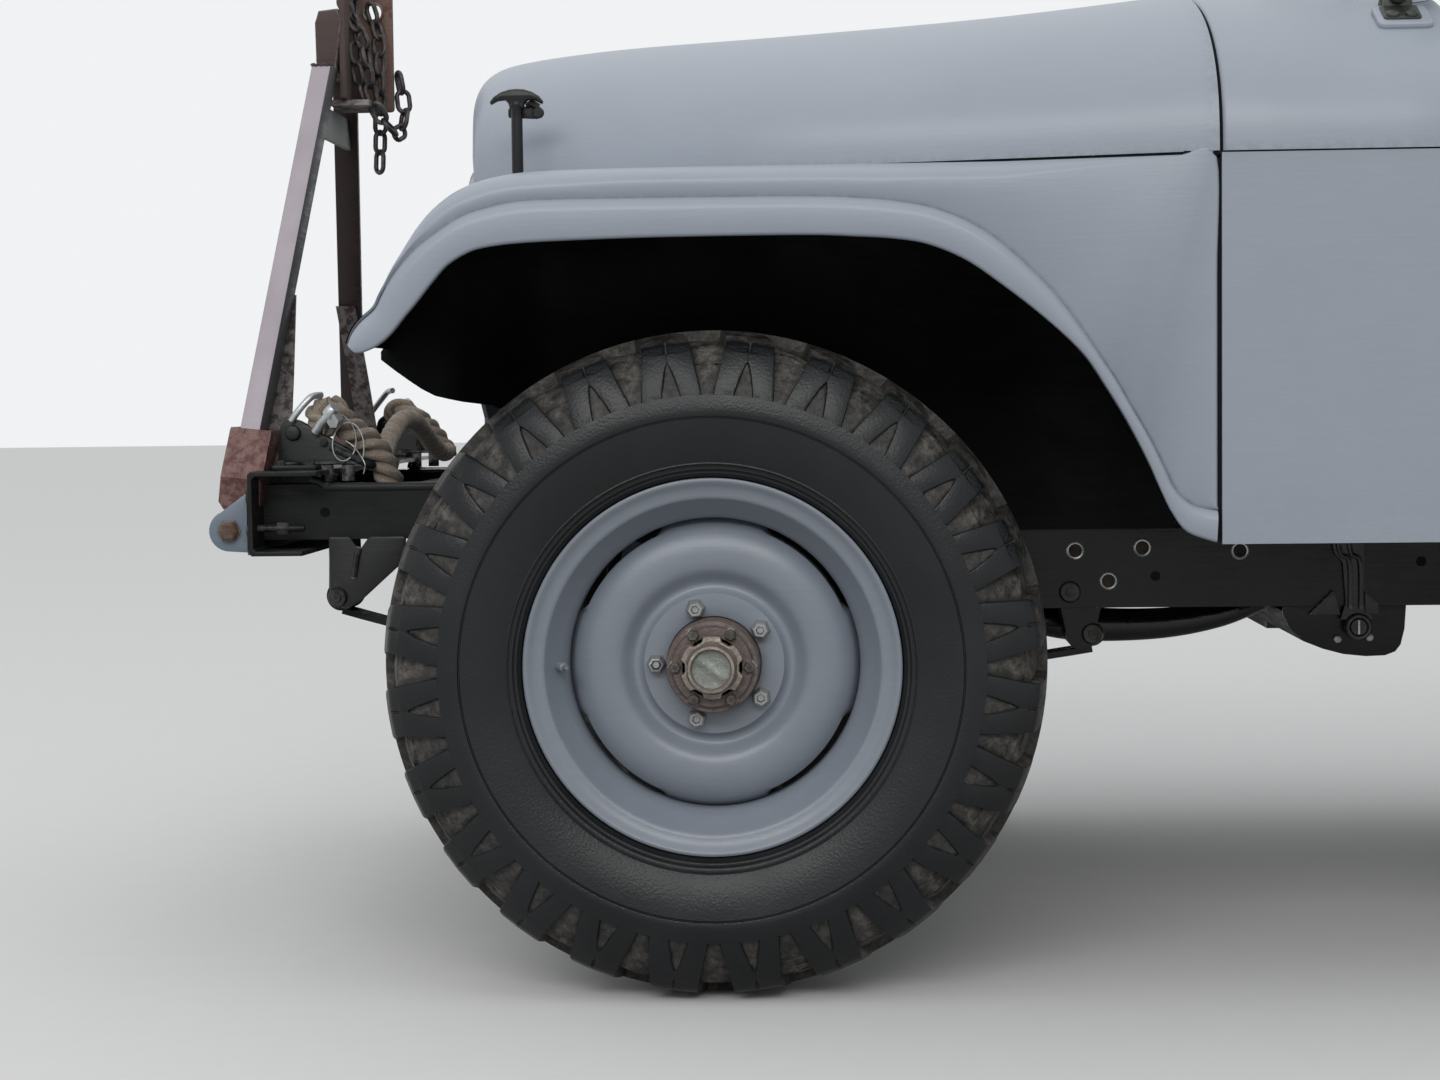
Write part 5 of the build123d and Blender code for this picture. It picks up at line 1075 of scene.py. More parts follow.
def makeSlings():
    cast, bolts, bows, ties = [], [], [], []
    profile = [(0.593, 0.64), (0.593, 0.667), (0.59, 0.694), (0.577, 0.703), (0.564, 0.7), (0.485, 0.653),
               (0.475, 0.646), (0.476, 0.64)]
    outline = rounded([(x + frontX, z) for x, z in profile], 0.008)
    for side in (1, -1):
        y = side * 0.345
        cast.append(plate([outline], 0.018, sidePlane(y), 0.004))
        cast.append(plate([rounded([(frontX + 0.536, y - 0.032), (frontX + 0.6, y - 0.032),
                                    (frontX + 0.6, y + 0.032), (frontX + 0.536, y + 0.032)], 0.006)], 0.006,
                          planeOf((0, 0, 0.6375), (1, 0, 0), (0, 1, 0))))
        for x in (0.5, 0.528):
            cast.append(lathe([(0, 0.021), (0.0085, 0.021), (0.0085, 0), (0, 0)],
                              (frontX + x, y + 0.004, 0.619), (0, 0, 1), 16))
        for x, z, r in ((0.572, 0.683, 0.0105), (0.483, 0.648, 0.0055)):
            for way in (1, -1):
                cast.append(lathe([(0, 0.0065), (r * 0.78, 0.0065), (r * 0.92, 0.0055), (r, 0.003), (r, 0)],
                                  (frontX + x, y + way * 0.008, z), (0, way, 0), 28))
        for x, dy in ((0.588, 0.021), (0.588, -0.021), (0.548, 0.021), (0.548, -0.021)):
            bolts.append(bolt((frontX + x, y + dy, 0.6405), (0, 0, 1), 0.0075, 0.0065))
        bolts.append(bolt((frontX + 0.531, y + side * 0.009, 0.671), (0, side, 0), 0.006, 0.005))
        # lower bow behind the bracket, through which the rope runs
        turn = np.linspace(-math.pi / 2, math.pi / 2, 15)
        bow = np.r_[[(0.0, -0.0085)], np.stack([0.051 + 0.0085 * np.cos(turn), 0.0085 * np.sin(turn)], 1),
                    [(0.0, 0.0085)]]
        back = np.array((-math.cos(math.radians(25)), 0, -math.sin(math.radians(25))))
        at = np.array((frontX + 0.522, y, 0.664))
        bolts.append(tube(at + bow[:, :1] * back + bow[:, 1:] * (0, 1, 0), 0.005, 12))
        # upper shackle: an arm over the bracket's nose, and the slanting pin and nut that the knot hangs on
        shift = np.array((0.0, 0, 0)) if side > 0 else np.array((0.028, 0, 0.008))
        arm = smoothLine([(0.5735, y + side * 0.012, 0.699), (0.566, y + side * 0.013, 0.709),
                          (0.556, y + side * 0.011, 0.721), (0.546, y + side * 0.006, 0.731),
                          (0.536, y - side * 0.006, 0.733)], 16)
        bows.append(tube(arm + (frontX, 0, 0) + shift, 0.0046, 10))
        pin = np.array([(0.541, y + side * 0.0135, 0.684), (0.531, y + side * 0.019, 0.697),
                        (0.519, y + side * 0.0235, 0.709)])
        bows.append(tube(pin + (frontX, 0, 0) + shift, 0.0062, 12))
        axis = pin[2] - pin[1]
        bows.append(lathe([(0, 0.01), (0.007, 0.01), (0.0092, 0.007), (0.0095, 0), (0.0095, -0.004),
                           (0, -0.004)], pin[2] + (frontX, 0, 0) + shift, axis, 14))
        bows.append(lathe([(0, 0.008), (0.01, 0.008), (0.0106, 0.006), (0.0106, -0.004), (0, -0.004)],
                          pin[1] * 0.4 + pin[2] * 0.6 + (frontX - 0.012, 0, -0.004) + shift,
                          (0.5, side, -0.3), 6))
        # wire twisted round bracket and rope
        t = np.linspace(0, 1, 60)
        loop = np.stack([0.512 + 0.018 * np.cos(tau * 1.6 * t) - 0.02 * t,
                         y + side * (0.014 + 0.006 * np.sin(tau * 2.3 * t)),
                         0.682 + 0.028 * np.sin(tau * 1.6 * t) - 0.018 * t], 1)
        ties.append(tube(loop + (frontX, 0, 0) + shift, 0.0009, 6, up=(0.3, 0.9, 0.1)))
        tail = smoothLine([(0.5, y + side * 0.017, 0.672), (0.488, y + side * 0.022, 0.664),
                           (0.48, y + side * 0.019, 0.652), (0.474, y + side * 0.021, 0.64),
                           (0.477, y + side * 0.018, 0.628)], 20)
        ties.append(tube(tail + (frontX, 0, 0) + shift, 0.0008, 6))
    piece("sling_castings", cast, "castBlack", "chassis", ["sling_brackets"], sharp=38)
    piece("sling_bolts", bolts, "satinBlack", "chassis", sharp=30)
    piece("sling_bows", bows, "galvanised", "chassis", ["sling_shackles"], sharp=38)
    piece("tie_wires", ties, "galvanised", "chassis", sharp=50)


makeEars(towSettings)
makeSlings()
print("bumper and ears made")


# Tow bar: flat-sided legs in rusty sockets, and a head of uprights, web, gusset and holed plate
def makeTowBar(s):
    lean = math.radians(s["lean"])
    up = np.array((-math.sin(lean), 0, math.cos(lean)))
    out = np.array((math.cos(lean), 0, math.sin(lean)))
    origin = np.array((s["pivotX"] + frontX, 0, s["pivotZ"]))
    slope = -(s["pivotY"] - s["headY"]) / (s["bend"] - s["foot"])

    def legX(z):
        return frontX + 0.6243 - 0.0991 * (z - 0.727)

    def legY(z):
        return s["pivotY"] + slope * (z - s["pivotZ"] - s["foot"])

    sockets, head, gussets = [], [], []
    for side, name in ((1, "left"), (-1, "right")):
        rows = []
        for z in (0.64, 0.66, 0.72, 0.86, 1.0, 1.14, 1.202):
            rows.append([(legX(z) + dx * 0.0137 - (0.009 if side < 0 and dx + dy == -2 else 0.0),
                          side * (legY(z) + dy * 0.027), z) for dx, dy in squareCorners])
        wedge = []
        for z, rear in ((0.64, 0.584), (0.66, 0.584), (0.76, 0.589), (0.872, 0.596)):
            y = legY(z) - 0.0285
            corners = ((rear, 0), (rear + 0.03, 0), (rear + 0.03, -0.006), (rear, -0.006))
            wedge.append([(frontX + a, side * (y + b), z) for a, b in corners])
        # faces turned out and up get a light grey, rear faces a dark grey and the rest a dark rust brown:
        # painted light and shade on the sides of one bar
        litAndShadedSides = [("barLitSide", (0, side * 0.86, 0.5)), ("barShadedRear", (-1, 0, 0))]
        gussets.append(gridPart(np.array(wedge), closeColumns=True, caps=True))
        piece("tow_leg_" + name, [gridPart(np.array(rows), closeColumns=True, caps=True)], "barRustShaded",
              "tow_bar", ["tow_bar"] if side > 0 else (), bevel=0.0022, sharp=38, also=litAndShadedSides)
        rows = []
        for rise, wide, deep, way in ((0.026, 0.0195, 0.02, 0), (0.036, 0.0198, 0.0275, 0),
                                      (0.066, 0.0198, 0.0275, 0), (0.069, 0.0295, 0.0275, 1),
                                      (0.131, 0.031, 0.0275, 1), (0.134, 0.0304, 0.0268, 1),
                                      (0.134, 0.0275, 0.0215, 1), (0.072, 0.0265, 0.0215, 1),
                                      (0.05, 0.01, 0.01, 0)):
            c = s["pivotY"] + way * slope * (rise - s["foot"])
            mid = origin + up * rise - (0.0075, 0, 0)
            rows.append([mid + (0, side * (c + dy * wide), 0) + out * dx * deep for dy, dx in squareCorners])
        sockets.append(gridPart(np.array(rows), True, True))
        sockets.append(lathe([(0.01, -0.019), (0.021, -0.019), (0.022, -0.018), (0.022, 0.018),
                              (0.021, 0.019), (0.01, 0.019)], origin + (0, side * s["pivotY"], 0), (0, 1, 0),
                             28, closed=True))
        # uprights of the head, their front top corners cut off, and the weld on each leg
        corners = ((0.5638, 1.196), (0.5915, 1.196), (0.5925, 1.266), (0.587, 1.283), (0.56, 1.286),
                   (0.5535, 1.269))
        outline = [(x - s["pivotX"], z - s["pivotZ"]) for x, z in corners]
        place = planeOf(tuple(origin + (0, side * s["headY"], 0)), (1, 0, 0), (0, 0, 1))
        head.append(plate([outline], s["tube"] - 0.001, place, 0.003))
        t = np.linspace(0, 1, 15)
        weld = np.stack([legX(1.2) - 0.0145 + 0.029 * t, np.full(15, side * (legY(1.2) + 0.0255)),
                         1.2015 + 0.001 * np.sin(t * 23)], 1)
        gussets.append(tube(weld, 0.0026, 8, up=(0, 1, 0)))
    # far plate with the towing hole, web between the uprights and their floor
    place = planeOf(tuple(origin + (0, -s["headY"], 0)), (1, 0, 0), (0, 0, 1))
    far = [plate([rounded([(-0.148, 0.594), (-0.088, 0.594), (-0.088, 0.79), (-0.148, 0.79)], 0.006),
                  circleLine((-0.12, 0.739), 0.0126)], 0.01, place, 0.0014),
           lathe([(0.0126, 0.0048), (0.0126, 0.0075), (0.015, 0.008), (0.0162, 0.006), (0.0162, 0.0048)],
                 origin + (-0.12, -s["headY"], 0.739), (0, 1, 0), 28, closed=True)]
    head.append(plate([rounded([(-0.063, 0.602), (0.063, 0.602), (0.063, 0.768), (-0.063, 0.768)], 0.004)],
                      0.008, planeOf(tuple(origin + (-0.094, 0, 0)), (0, 1, 0), (0, 0, 1)), 0.0012))
    head.append(block(origin + (-0.128, -0.048, 0.594), origin + (-0.072, 0.048, 0.602)))
    # the gusset wedges and welds take the legs' dark rust brown, partly painted shade
    piece("tow_gussets", gussets, "barRustShaded", "tow_bar", sharp=38)
    half = legY(1.123) - 0.0265
    brace = [(-half - 0.01, 1.145), (half + 0.01, 1.145), (half + 0.022, 1.1), (-half - 0.022, 1.1)]
    brace = [plate([brace], 0.008, facePlane(legX(1.12) - 0.006), 0.0012)]
    piece("tow_sockets", sockets, "socketRust", "tow_bar", sharp=38, bevel=0.0)
    piece("tow_head", head, "headRust", "tow_bar", sharp=38)
    piece("tow_plate", far, "plateRust", "tow_bar", sharp=38)
    piece("tow_brace", brace, "gussetGrey", "tow_bar", sharp=38)


# chain: two strands hang from the head, a third loops behind the holed plate
chainSettings = {"wire": 0.0036, "long": 0.0155, "wide": 0.0098, "pitch": 0.0234}
chainRoutes = [
    [(1.678, 0.012, 1.298), (1.654, 0.02, 1.249), (1.646, 0.02, 1.213), (1.645, 0.018, 1.185),
     (1.636, 0.014, 1.15), (1.62, 0.004, 1.124), (1.608, -0.026, 1.118), (1.604, -0.042, 1.15),
     (1.61, -0.042, 1.192)],
    [(1.648, -0.034, 1.293), (1.64, -0.03, 1.27), (1.634, -0.012, 1.232), (1.634, -0.01, 1.177),
     (1.634, -0.012, 1.14), (1.637, -0.014, 1.074)],
    [(1.664, 0.004, 1.322), (1.668, 0.01, 1.28), (1.664, 0.016, 1.236), (1.66, 0.02, 1.196),
     (1.652, 0.016, 1.168)],
]


def makeChain(s):
    t = np.arange(18) * tau / 18
    straight = (s["long"] - s["wide"]) * np.sign(np.cos(t)) * (np.abs(np.cos(t)) > 1e-6)
    oval = np.stack([straight + s["wide"] * np.cos(t), s["wide"] * np.sin(t) * 0.92], 1)
    parts = []
    for k, route in enumerate(chainRoutes):
        line, _ = evenLine(smoothLine(route, 120), s["pitch"])
        along = np.gradient(line, axis=0)
        for i in range(len(line)):
            a = along[i] / np.linalg.norm(along[i])
            side = np.cross(a, (0, 1, 0.2))
            side /= np.linalg.norm(side)
            other = np.cross(a, side)
            twist = 0.55 + (i % 2) * math.pi / 2 + 0.25 * math.sin(i * 1.7 + k)
            wide = math.cos(twist) * side + math.sin(twist) * other
            path = line[i] + oval[:, :1] * a + oval[:, 1:] * wide
            parts.append(tube(path, s["wire"], 7, closed=True, up=tuple(np.cross(a, wide))))
    piece("tow_chain_links", parts, "chainSteel", "tow_bar", sharp=60)


makeTowBar(towSettings)
makeChain(chainSettings)
print("tow bar made")

# Hood latches: a black T handle on a stem at each side, held by a small bracket
latchSettings = {"x": 0.2355, "y": 0.588, "foot": 1.0, "top": 1.087}


def makeLatch(side, s):
    x, y = s["x"] + frontX, side * s["y"]
    stem = lathe([(0, -0.09), (0.0062, -0.09), (0.0071, -0.084), (0.0069, -0.02), (0.0066, -0.008),
                  (0.0074, -0.007), (0.0074, -0.002), (0.0058, 0), (0, 0)], (x, y, s["top"]), (0, 0, 1), 20)
    # umbrella-shaped handle: deep in the middle, running out to a point at each end
    crown = [(0.0315, -0.0015), (0.033, 0.002), (0.028, 0.0085), (0.019, 0.014), (0.009, 0.017),
             (0.0, 0.0178), (-0.009, 0.017), (-0.019, 0.014), (-0.028, 0.0085), (-0.033, 0.002),
             (-0.0315, -0.0015), (-0.023, 0.003), (-0.014, 0.004), (-0.01, 0.0), (-0.0085, -0.006),
             (0.0085, -0.006), (0.01, 0.0), (0.014, 0.004), (0.023, 0.003)]
    handle = plate([rounded([(x + cx, s["top"] - 0.003 + cz) for cx, cz in crown], 0.0015)], 0.011,
                   sidePlane(y), 0.0038)
    arm = plate([rounded([(x - 0.026, 1.066), (x + 0.012, 1.068), (x + 0.012, 1.08), (x - 0.014, 1.082),
                          (x - 0.022, 1.086), (x - 0.026, 1.082)], 0.003)], 0.004,
                sidePlane(y - side * 0.012))
    screws = [lathe([(0, 0.01), (0.0055, 0.01), (0.0068, 0.008), (0.0068, 0)],
                    (x - 0.0255, y - side * 0.012, 1.0735), (0, side, 0), 18),
              tube(np.array([(x - 0.012, y - side * 0.01, 1.083), (x - 0.018, y - side * 0.006, 1.086),
                             (x - 0.026, y - side * 0.006, 1.08)]), 0.0042, 8)]
    piece("hood_latch_" + sideNames[side], [stem, handle, arm, *screws], "blackRubber", "chassis",
          sharp=40)


makeLatch(1, latchSettings)
makeLatch(-1, latchSettings)


# Windscreen feet: a raised pad, a bent bracket with two screws, and the pivot bolt
def makeScreenFoot(side):
    x, y, z = frontX - 0.815, side * 0.65, 1.158
    normal = np.array((0, side * 0.5, 0.866))
    acrossDir = (1, 0, 0)
    upDir = np.cross(normal, acrossDir)
    pad = plate([rounded([(-0.034, -0.03), (0.03, -0.03), (0.03, 0.03), (-0.034, 0.03)], 0.01)], 0.008,
                planeOf((x, y, z), acrossDir, tuple(upDir)), 0.003)
    foot = plate([rounded([(-0.022, -0.02), (0.022, -0.02), (0.022, 0.02), (-0.022, 0.02)], 0.006)], 0.003,
                 planeOf((x, y, z + 0.006), acrossDir, tuple(upDir)), 0.0008)
    screws = [lathe([(0, 0.0045), (0.0035, 0.0045), (0.0075, 0.0022), (0.008, 0)],
                    np.array((x + dx, y + side * 0.01, z + 0.0025)), normal, 16) for dx in (-0.011, 0.011)]
    piece("screen_pad_" + sideNames[side], [pad], "bodyPaint", "chassis", sharp=40)
    lug = plate([rounded([(x - 0.02, z - 0.004), (x + 0.02, z - 0.004), (x + 0.014, z + 0.044),
                          (x - 0.014, z + 0.044)], 0.012)], 0.005, sidePlane(side * 0.6335), 0.001)
    innerLug = plate([rounded([(x - 0.02, z + 0.004), (x + 0.02, z + 0.004), (x + 0.014, z + 0.044),
                               (x - 0.014, z + 0.044)], 0.012)], 0.005, sidePlane(side * 0.6105), 0.001)
    pin = lathe([(0, 0.012), (0.007, 0.012), (0.011, 0.009), (0.012, 0.002), (0.012, 0)],
                (x, side * 0.636, 1.187), (0, side, 0), 20)
    piece("screen_bracket_" + sideNames[side], [foot, *screws, lug, innerLug, pin], "greenCast", "chassis",
          sharp=36)


makeScreenFoot(1)
makeScreenFoot(-1)


# Frame details: ring plugs, holes in the rails drawn as dark discs of painted shade, spring pins
def makeRailDetails():
    plugs, holes, pins, castings, pan = [], [], [], [], []
    hanger = [(0.519, 0.547), (0.519, 0.475), (0.511, 0.457), (0.499, 0.451), (0.481, 0.459), (0.424, 0.51),
              (0.417, 0.526), (0.417, 0.547), (0.465, 0.547), (0.47, 0.54), (0.478, 0.529), (0.486, 0.539),
              (0.49, 0.547)]
    skid = [(-0.729, 0.445), (-0.729, 0.432), (-0.738, 0.413), (-0.756, 0.396), (-0.781, 0.386),
            (-0.807, 0.379), (-0.836, 0.376), (-0.861, 0.377), (-0.874, 0.382), (-0.881, 0.391),
            (-0.886, 0.412), (-0.888, 0.445)]
    lower = np.array(skid)
    for side in (1, -1):
        # rounded top edge of the frame horn, which rises to the bumper's flange
        horn = smoothLine([(0.546, side * 0.3675, 0.6215), (0.536, side * 0.3675, 0.6185),
                           (0.526, side * 0.3675, 0.6125), (0.508, side * 0.3675, 0.611),
                           (0.3, side * 0.3675, 0.611), (0.1, side * 0.3675, 0.611)], 40)
        # its light edge colour is partly painted highlight
        castings.append(tube(horn + (frontX, 0, 0), 0.0058, 12))
        # front hanger: a cast plate with a notch in its top and a tapering rib below it
        castings.append(plate([rounded([(x + frontX, z) for x, z in hanger], 0.004)], 0.009,
                              sidePlane(side * 0.3915), 0.003))
        rib = np.array([(0.478, side * 0.3955, 0.532), (0.481, side * 0.3985, 0.522),
                        (0.484, side * 0.3975, 0.505), (0.486, side * 0.3945, 0.492)])
        castings.append(tube(smoothLine(rib, 12) + (frontX, 0, 0), 0.0042, 8, up=(0, 1, 0)))
        # skid pan: cheeks, a ribbed upright over the rail, its two gussets
        pan.append(plate([[(x + frontX, z) for x, z in skid]], 0.005, sidePlane(side * 0.36), 0.0012))
        upright = [(-0.786, 0.546), (-0.792, 0.512), (-0.803, 0.5), (-0.807, 0.447), (-0.8, 0.425),
                   (-0.845, 0.425), (-0.832, 0.447), (-0.831, 0.546)]
        castings.append(plate([rounded([(x + frontX, z) for x, z in upright], 0.003)], 0.006,
                              sidePlane(side * 0.3735), 0.0015))
        for dx in (0.0, -0.014):
            ridge = smoothLine([(-0.795 + dx, side * 0.376, 0.544), (-0.8 + dx, side * 0.3775, 0.512),
                                (-0.8115 + dx, side * 0.378, 0.5), (-0.8125 + dx, side * 0.3775, 0.44)], 24)
            castings.append(tube(ridge + (frontX, 0, 0), 0.0034, 8, up=(0, 1, 0)))
        for corner in ([(-0.759, 0.432), (-0.791, 0.464), (-0.8, 0.432)],
                       [(-0.832, 0.462), (-0.849, 0.447), (-0.849, 0.434), (-0.832, 0.434)]):
            outline = [(x + frontX, z) for x, z in corner]
            castings.append(plate([outline], 0.01, sidePlane(side * 0.374), 0.001))
        ringAt = (frontX - 0.823, side * 0.3765, 0.416)
        castings.append(lathe([(0.0112, 0.005), (0.0125, 0.0075), (0.0155, 0.0075), (0.0175, 0.0045),
                               (0.018, 0)], ringAt, (0, side, 0), 32, grimeAndShade=0.3))
        castings.append(lathe([(0, 0.0062), (0.01, 0.0062), (0.0108, 0.005), (0.0108, 0)], ringAt,
                              (0, side, 0), 28, grimeAndShade=0.2))
        plugs.append(block((frontX - 0.8242, side * 0.3825 - 0.0009, 0.407),
                           (frontX - 0.8218, side * 0.3825 + 0.0009, 0.425)))
        for x, z in ((-0.799, 0.399), (-0.84, 0.401)):
            plugs.append(bolt((frontX + x, side * 0.363, z), (0, side, 0), 0.0052, 0.005))
    # the pan's sheet follows the cheeks' lower edge across the frame
    sheet = [[(x + frontX, y, z + lift) for y in np.linspace(-0.358, 0.358, 9)] for lift in (0.0, 0.004)
             for x, z in (lower if lift == 0 else lower[::-1])]
    # the sheet's near black is partly painted shade
    piece("skid_sheet", [gridPart(np.array(sheet)[:, ::-1], closeRows=True)], "innerBlackShaded", "chassis",
          sharp=40)
    # front pipe of the exhaust, seen under the near rail
    pipe = smoothLine([(-0.3, 0.275, 0.47), (-0.4, 0.262, 0.428), (-0.48, 0.255, 0.412),
                       (-0.58, 0.25, 0.411), (-0.66, 0.246, 0.422), (-0.72, 0.24, 0.442)], 50)
    thick = np.interp(np.linspace(0, 1, 50), (0, 0.35, 0.6, 1), (0.022, 0.024, 0.021, 0.015))
    castings.append(tube(pipe + (frontX, 0, 0), thick[:, None, None], 24))
    for side in (1, -1):
        for x, z in ((-0.459, 0.518), (-0.546, 0.521), (-0.502, 0.478), (-0.672, 0.516)):
            plugs.append(lathe([(0.0085, 0.0006), (0.0088, 0.0022), (0.0105, 0.0026), (0.0118, 0.0014),
                                (0.0118, 0)], (x + frontX, side * 0.37, z), (0, side, 0), 28))
            # each hole is a flat dark disc: painted shade inside the hole
            holes.append(lathe([(0, 0.0009), (0.0088, 0.0009)], (x + frontX, side * 0.37, z), (0, side, 0),
                               24, grimeAndShade=0.8))
        for x, z in ((-0.563, 0.484), (0.528, 0.578), (-0.905, 0.5), (-0.96, 0.47)):
            # each hole is a flat dark disc: painted shade inside the hole
            holes.append(lathe([(0, 0.0006), (0.0065, 0.0006)], (x + frontX, side * 0.37, z), (0, side, 0),
                               20))
        for x, z, r in ((0.508, 0.467, 0.011), (-0.481, 0.409, 0.012), (-0.452, 0.464, 0.012)):
            pins.append(lathe([(0, 0.01), (r * 0.45, 0.01), (r * 0.5, 0.006), (r, 0.006), (r * 1.15, 0.003),
                               (r * 1.2, 0)], (x + frontX, side * (0.396 if x > 0 else 0.3705), z),
                              (0, side, 0), 20, grimeAndShade=0.2))
    piece("rail_castings", castings, "castBlack", "chassis", sharp=40)
    piece("skid_pan", pan, "satinBlack", "chassis", ["skid_plate"], sharp=40)
    piece("rail_plugs", plugs, "nutZinc", "chassis", sharp=40)
    piece("rail_holes", holes, "darkSeamAndShade", "chassis", sharp=40)
    piece("spring_pins", pins, "satinBlack", "chassis", sharp=36)


makeRailDetails()
print("small parts made")

# Headlamps, almost flush with the grille, and the markers below them
def makeLamps():
    bezels, lenses, markers = [], [], []
    for side in (1, -1):
        c = (frontX + 0.308, side * 0.372, 0.93)
        bezels.append(lathe([(0.079, 0.002), (0.0795, 0.01), (0.083, 0.013), (0.09, 0.012), (0.0945, 0.007),
                             (0.0955, -0.002)], c, (1, 0, 0), 72))
        bezels.append(lathe([(0, -0.01), (0.03, -0.008), (0.06, -0.002), (0.08, 0.004)], c, (1, 0, 0), 48))
        lenses.append(lathe([(0, 0.0125), (0.03, 0.0118), (0.055, 0.0098), (0.07, 0.007), (0.0795, 0.003)],
                            c, (1, 0, 0), 64))
        for k in range(3):
            turn = k * tau / 3 + math.pi / 2
            bezels.append(lathe([(0, 0.0035), (0.003, 0.0035), (0.0042, 0.0015), (0.0042, 0)],
                                (c[0] + 0.0118, c[1] + 0.0875 * math.cos(turn),
                                 c[2] + 0.0875 * math.sin(turn)), (1, 0, 0), 12))
        m = (frontX + 0.308, side * 0.372, 0.792)
        bezels.append(lathe([(0.024, 0.006), (0.0255, 0.011), (0.03, 0.011), (0.032, 0.008),
                             (0.0325, -0.001)], m, (1, 0, 0), 40))
        markers.append(lathe([(0, 0.022), (0.01, 0.0205), (0.018, 0.016), (0.0235, 0.01), (0.0245, 0.004)],
                             m, (1, 0, 0), 36))
    piece("lamp_bezels", bezels, "galvanised", "chassis", ["headlamps"], sharp=36)
    piece("lamp_lenses", lenses, "lampGlass", "chassis", sharp=50, shell=0.002)
    piece("marker_lenses", markers, "redLens", "chassis", sharp=50)


makeLamps()

# Cabin: padded seats, instrument panel face, levers and pedals
cushionSettings = {
    "voxel": 0.0075, "pressure": 4.0, "frames": 18, "sag": 0.022,
    # name (which also names the CAD node it hides), body, then for each pad its centre, half sizes and lean
    # in degrees
    "pads": [("driver", "chassis", [((-0.255, 0.372, 0.805), (0.19, 0.205, 0.04), 0),
                                    ((-0.523, 0.372, 1.055), (0.03, 0.205, 0.168), 12)]),
             ("passenger", "passenger_seat", [((-0.255, -0.372, 0.805), (0.19, 0.205, 0.04), 0),
                                              ((-0.523, -0.372, 1.055), (0.03, 0.205, 0.168), 12)]),
             ("rear", "chassis", [((-1.087, 0, 0.905), (0.18, 0.398, 0.035), 0),
                                  ((-1.312, 0, 1.08), (0.03, 0.398, 0.14), 0)])],
}


def padMesh(centre, half, lean, s):
    # a box a little smaller than the pad is remeshed, blown up as cloth without gravity, and its crown capped
    low, high = -np.array(half), np.array(half)
    box = block(low + 0.004, high - 0.004)
    mesh = bpy.data.meshes.new("pad")
    mesh.from_pydata(box[0].tolist(), [], [[int(i) for i in f] for f in box[1]])
    holder = bpy.data.objects.new("pad", mesh)
    scene.collection.objects.link(holder)
    remesh = holder.modifiers.new("remesh", "REMESH")
    remesh.mode, remesh.voxel_size = "VOXEL", s["voxel"]
    ready = meshOf(holder)
    holder.modifiers.clear()
    holder.data = ready
    cloth = holder.modifiers.new("cloth", "CLOTH").settings
    cloth.use_pressure, cloth.uniform_pressure_force = True, s["pressure"]
    cloth.effector_weights.gravity, cloth.mass = 0.0, 0.3
    cloth.tension_stiffness, cloth.compression_stiffness, cloth.bending_stiffness = 15, 15, 0.5
    for frameNumber in range(1, s["frames"] + 1):
        scene.frame_set(frameNumber)
    blown = meshOf(holder)
    was = np.array([v.co for v in ready.vertices])
    now = np.array([v.co for v in blown.vertices])
    faces = [list(f.vertices) for f in blown.polygons]
    bpy.data.objects.remove(holder)
    moved = now - was
    far = np.linalg.norm(moved, axis=1)[:, None]
    now = was + moved * np.minimum(1, s["sag"] / np.maximum(far, 1e-9))
    # the pad keeps inside its box but for the crown on its thin side
    thin = int(np.argmin(half))
    for k in range(3):
        reach = np.abs(now[:, k]).max()
        allowed = half[k] + (0.008 if k == thin else 0.0)
        now[:, k] *= min(1.0, allowed / reach)
    t = math.radians(lean)
    turned = np.stack([now[:, 0] * math.cos(t) - now[:, 2] * math.sin(t), now[:, 1],
                       now[:, 0] * math.sin(t) + now[:, 2] * math.cos(t)], 1)
    scene.frame_set(1)
    return turned + centre, faces


def makeCushions(s):
    for name, body, pads in s["pads"]:
        parts = []
        for centre, half, lean in pads:
            points, faces = padMesh(centre, half, lean, s)
            parts.append((points, faces, np.zeros(len(points))))
        made = piece(name + "_seat_pads", parts, "seatCanvas", body, [name + "_seat_cushions"],
                     sharp=70)
        # piped seam round the edge of each pad, on its front face
        pipes = []
        for centre, half, lean in pads:
            thin = int(np.argmin(half))
            a, b = [k for k in range(3) if k != thin]
            t = np.linspace(0, tau, 97)[:-1]
            loop = np.zeros((96, 3))
            loop[:, a] = (half[a] - 0.005) * np.sign(np.cos(t)) * np.abs(np.cos(t)) ** 0.16
            loop[:, b] = (half[b] - 0.005) * np.sign(np.sin(t)) * np.abs(np.sin(t)) ** 0.16
            loop[:, thin] = half[thin] - 0.006
            u = math.radians(lean)
            loop = np.stack([loop[:, 0] * math.cos(u) - loop[:, 2] * math.sin(u), loop[:, 1],
                             loop[:, 0] * math.sin(u) + loop[:, 2] * math.cos(u)], 1)
            pipes.append(tube(loop + centre, 0.0034, 8, closed=True, up=tuple(np.eye(3)[thin])))
        piece(name + "_seat_piping", pipes, "seatCanvas", body, sharp=70)


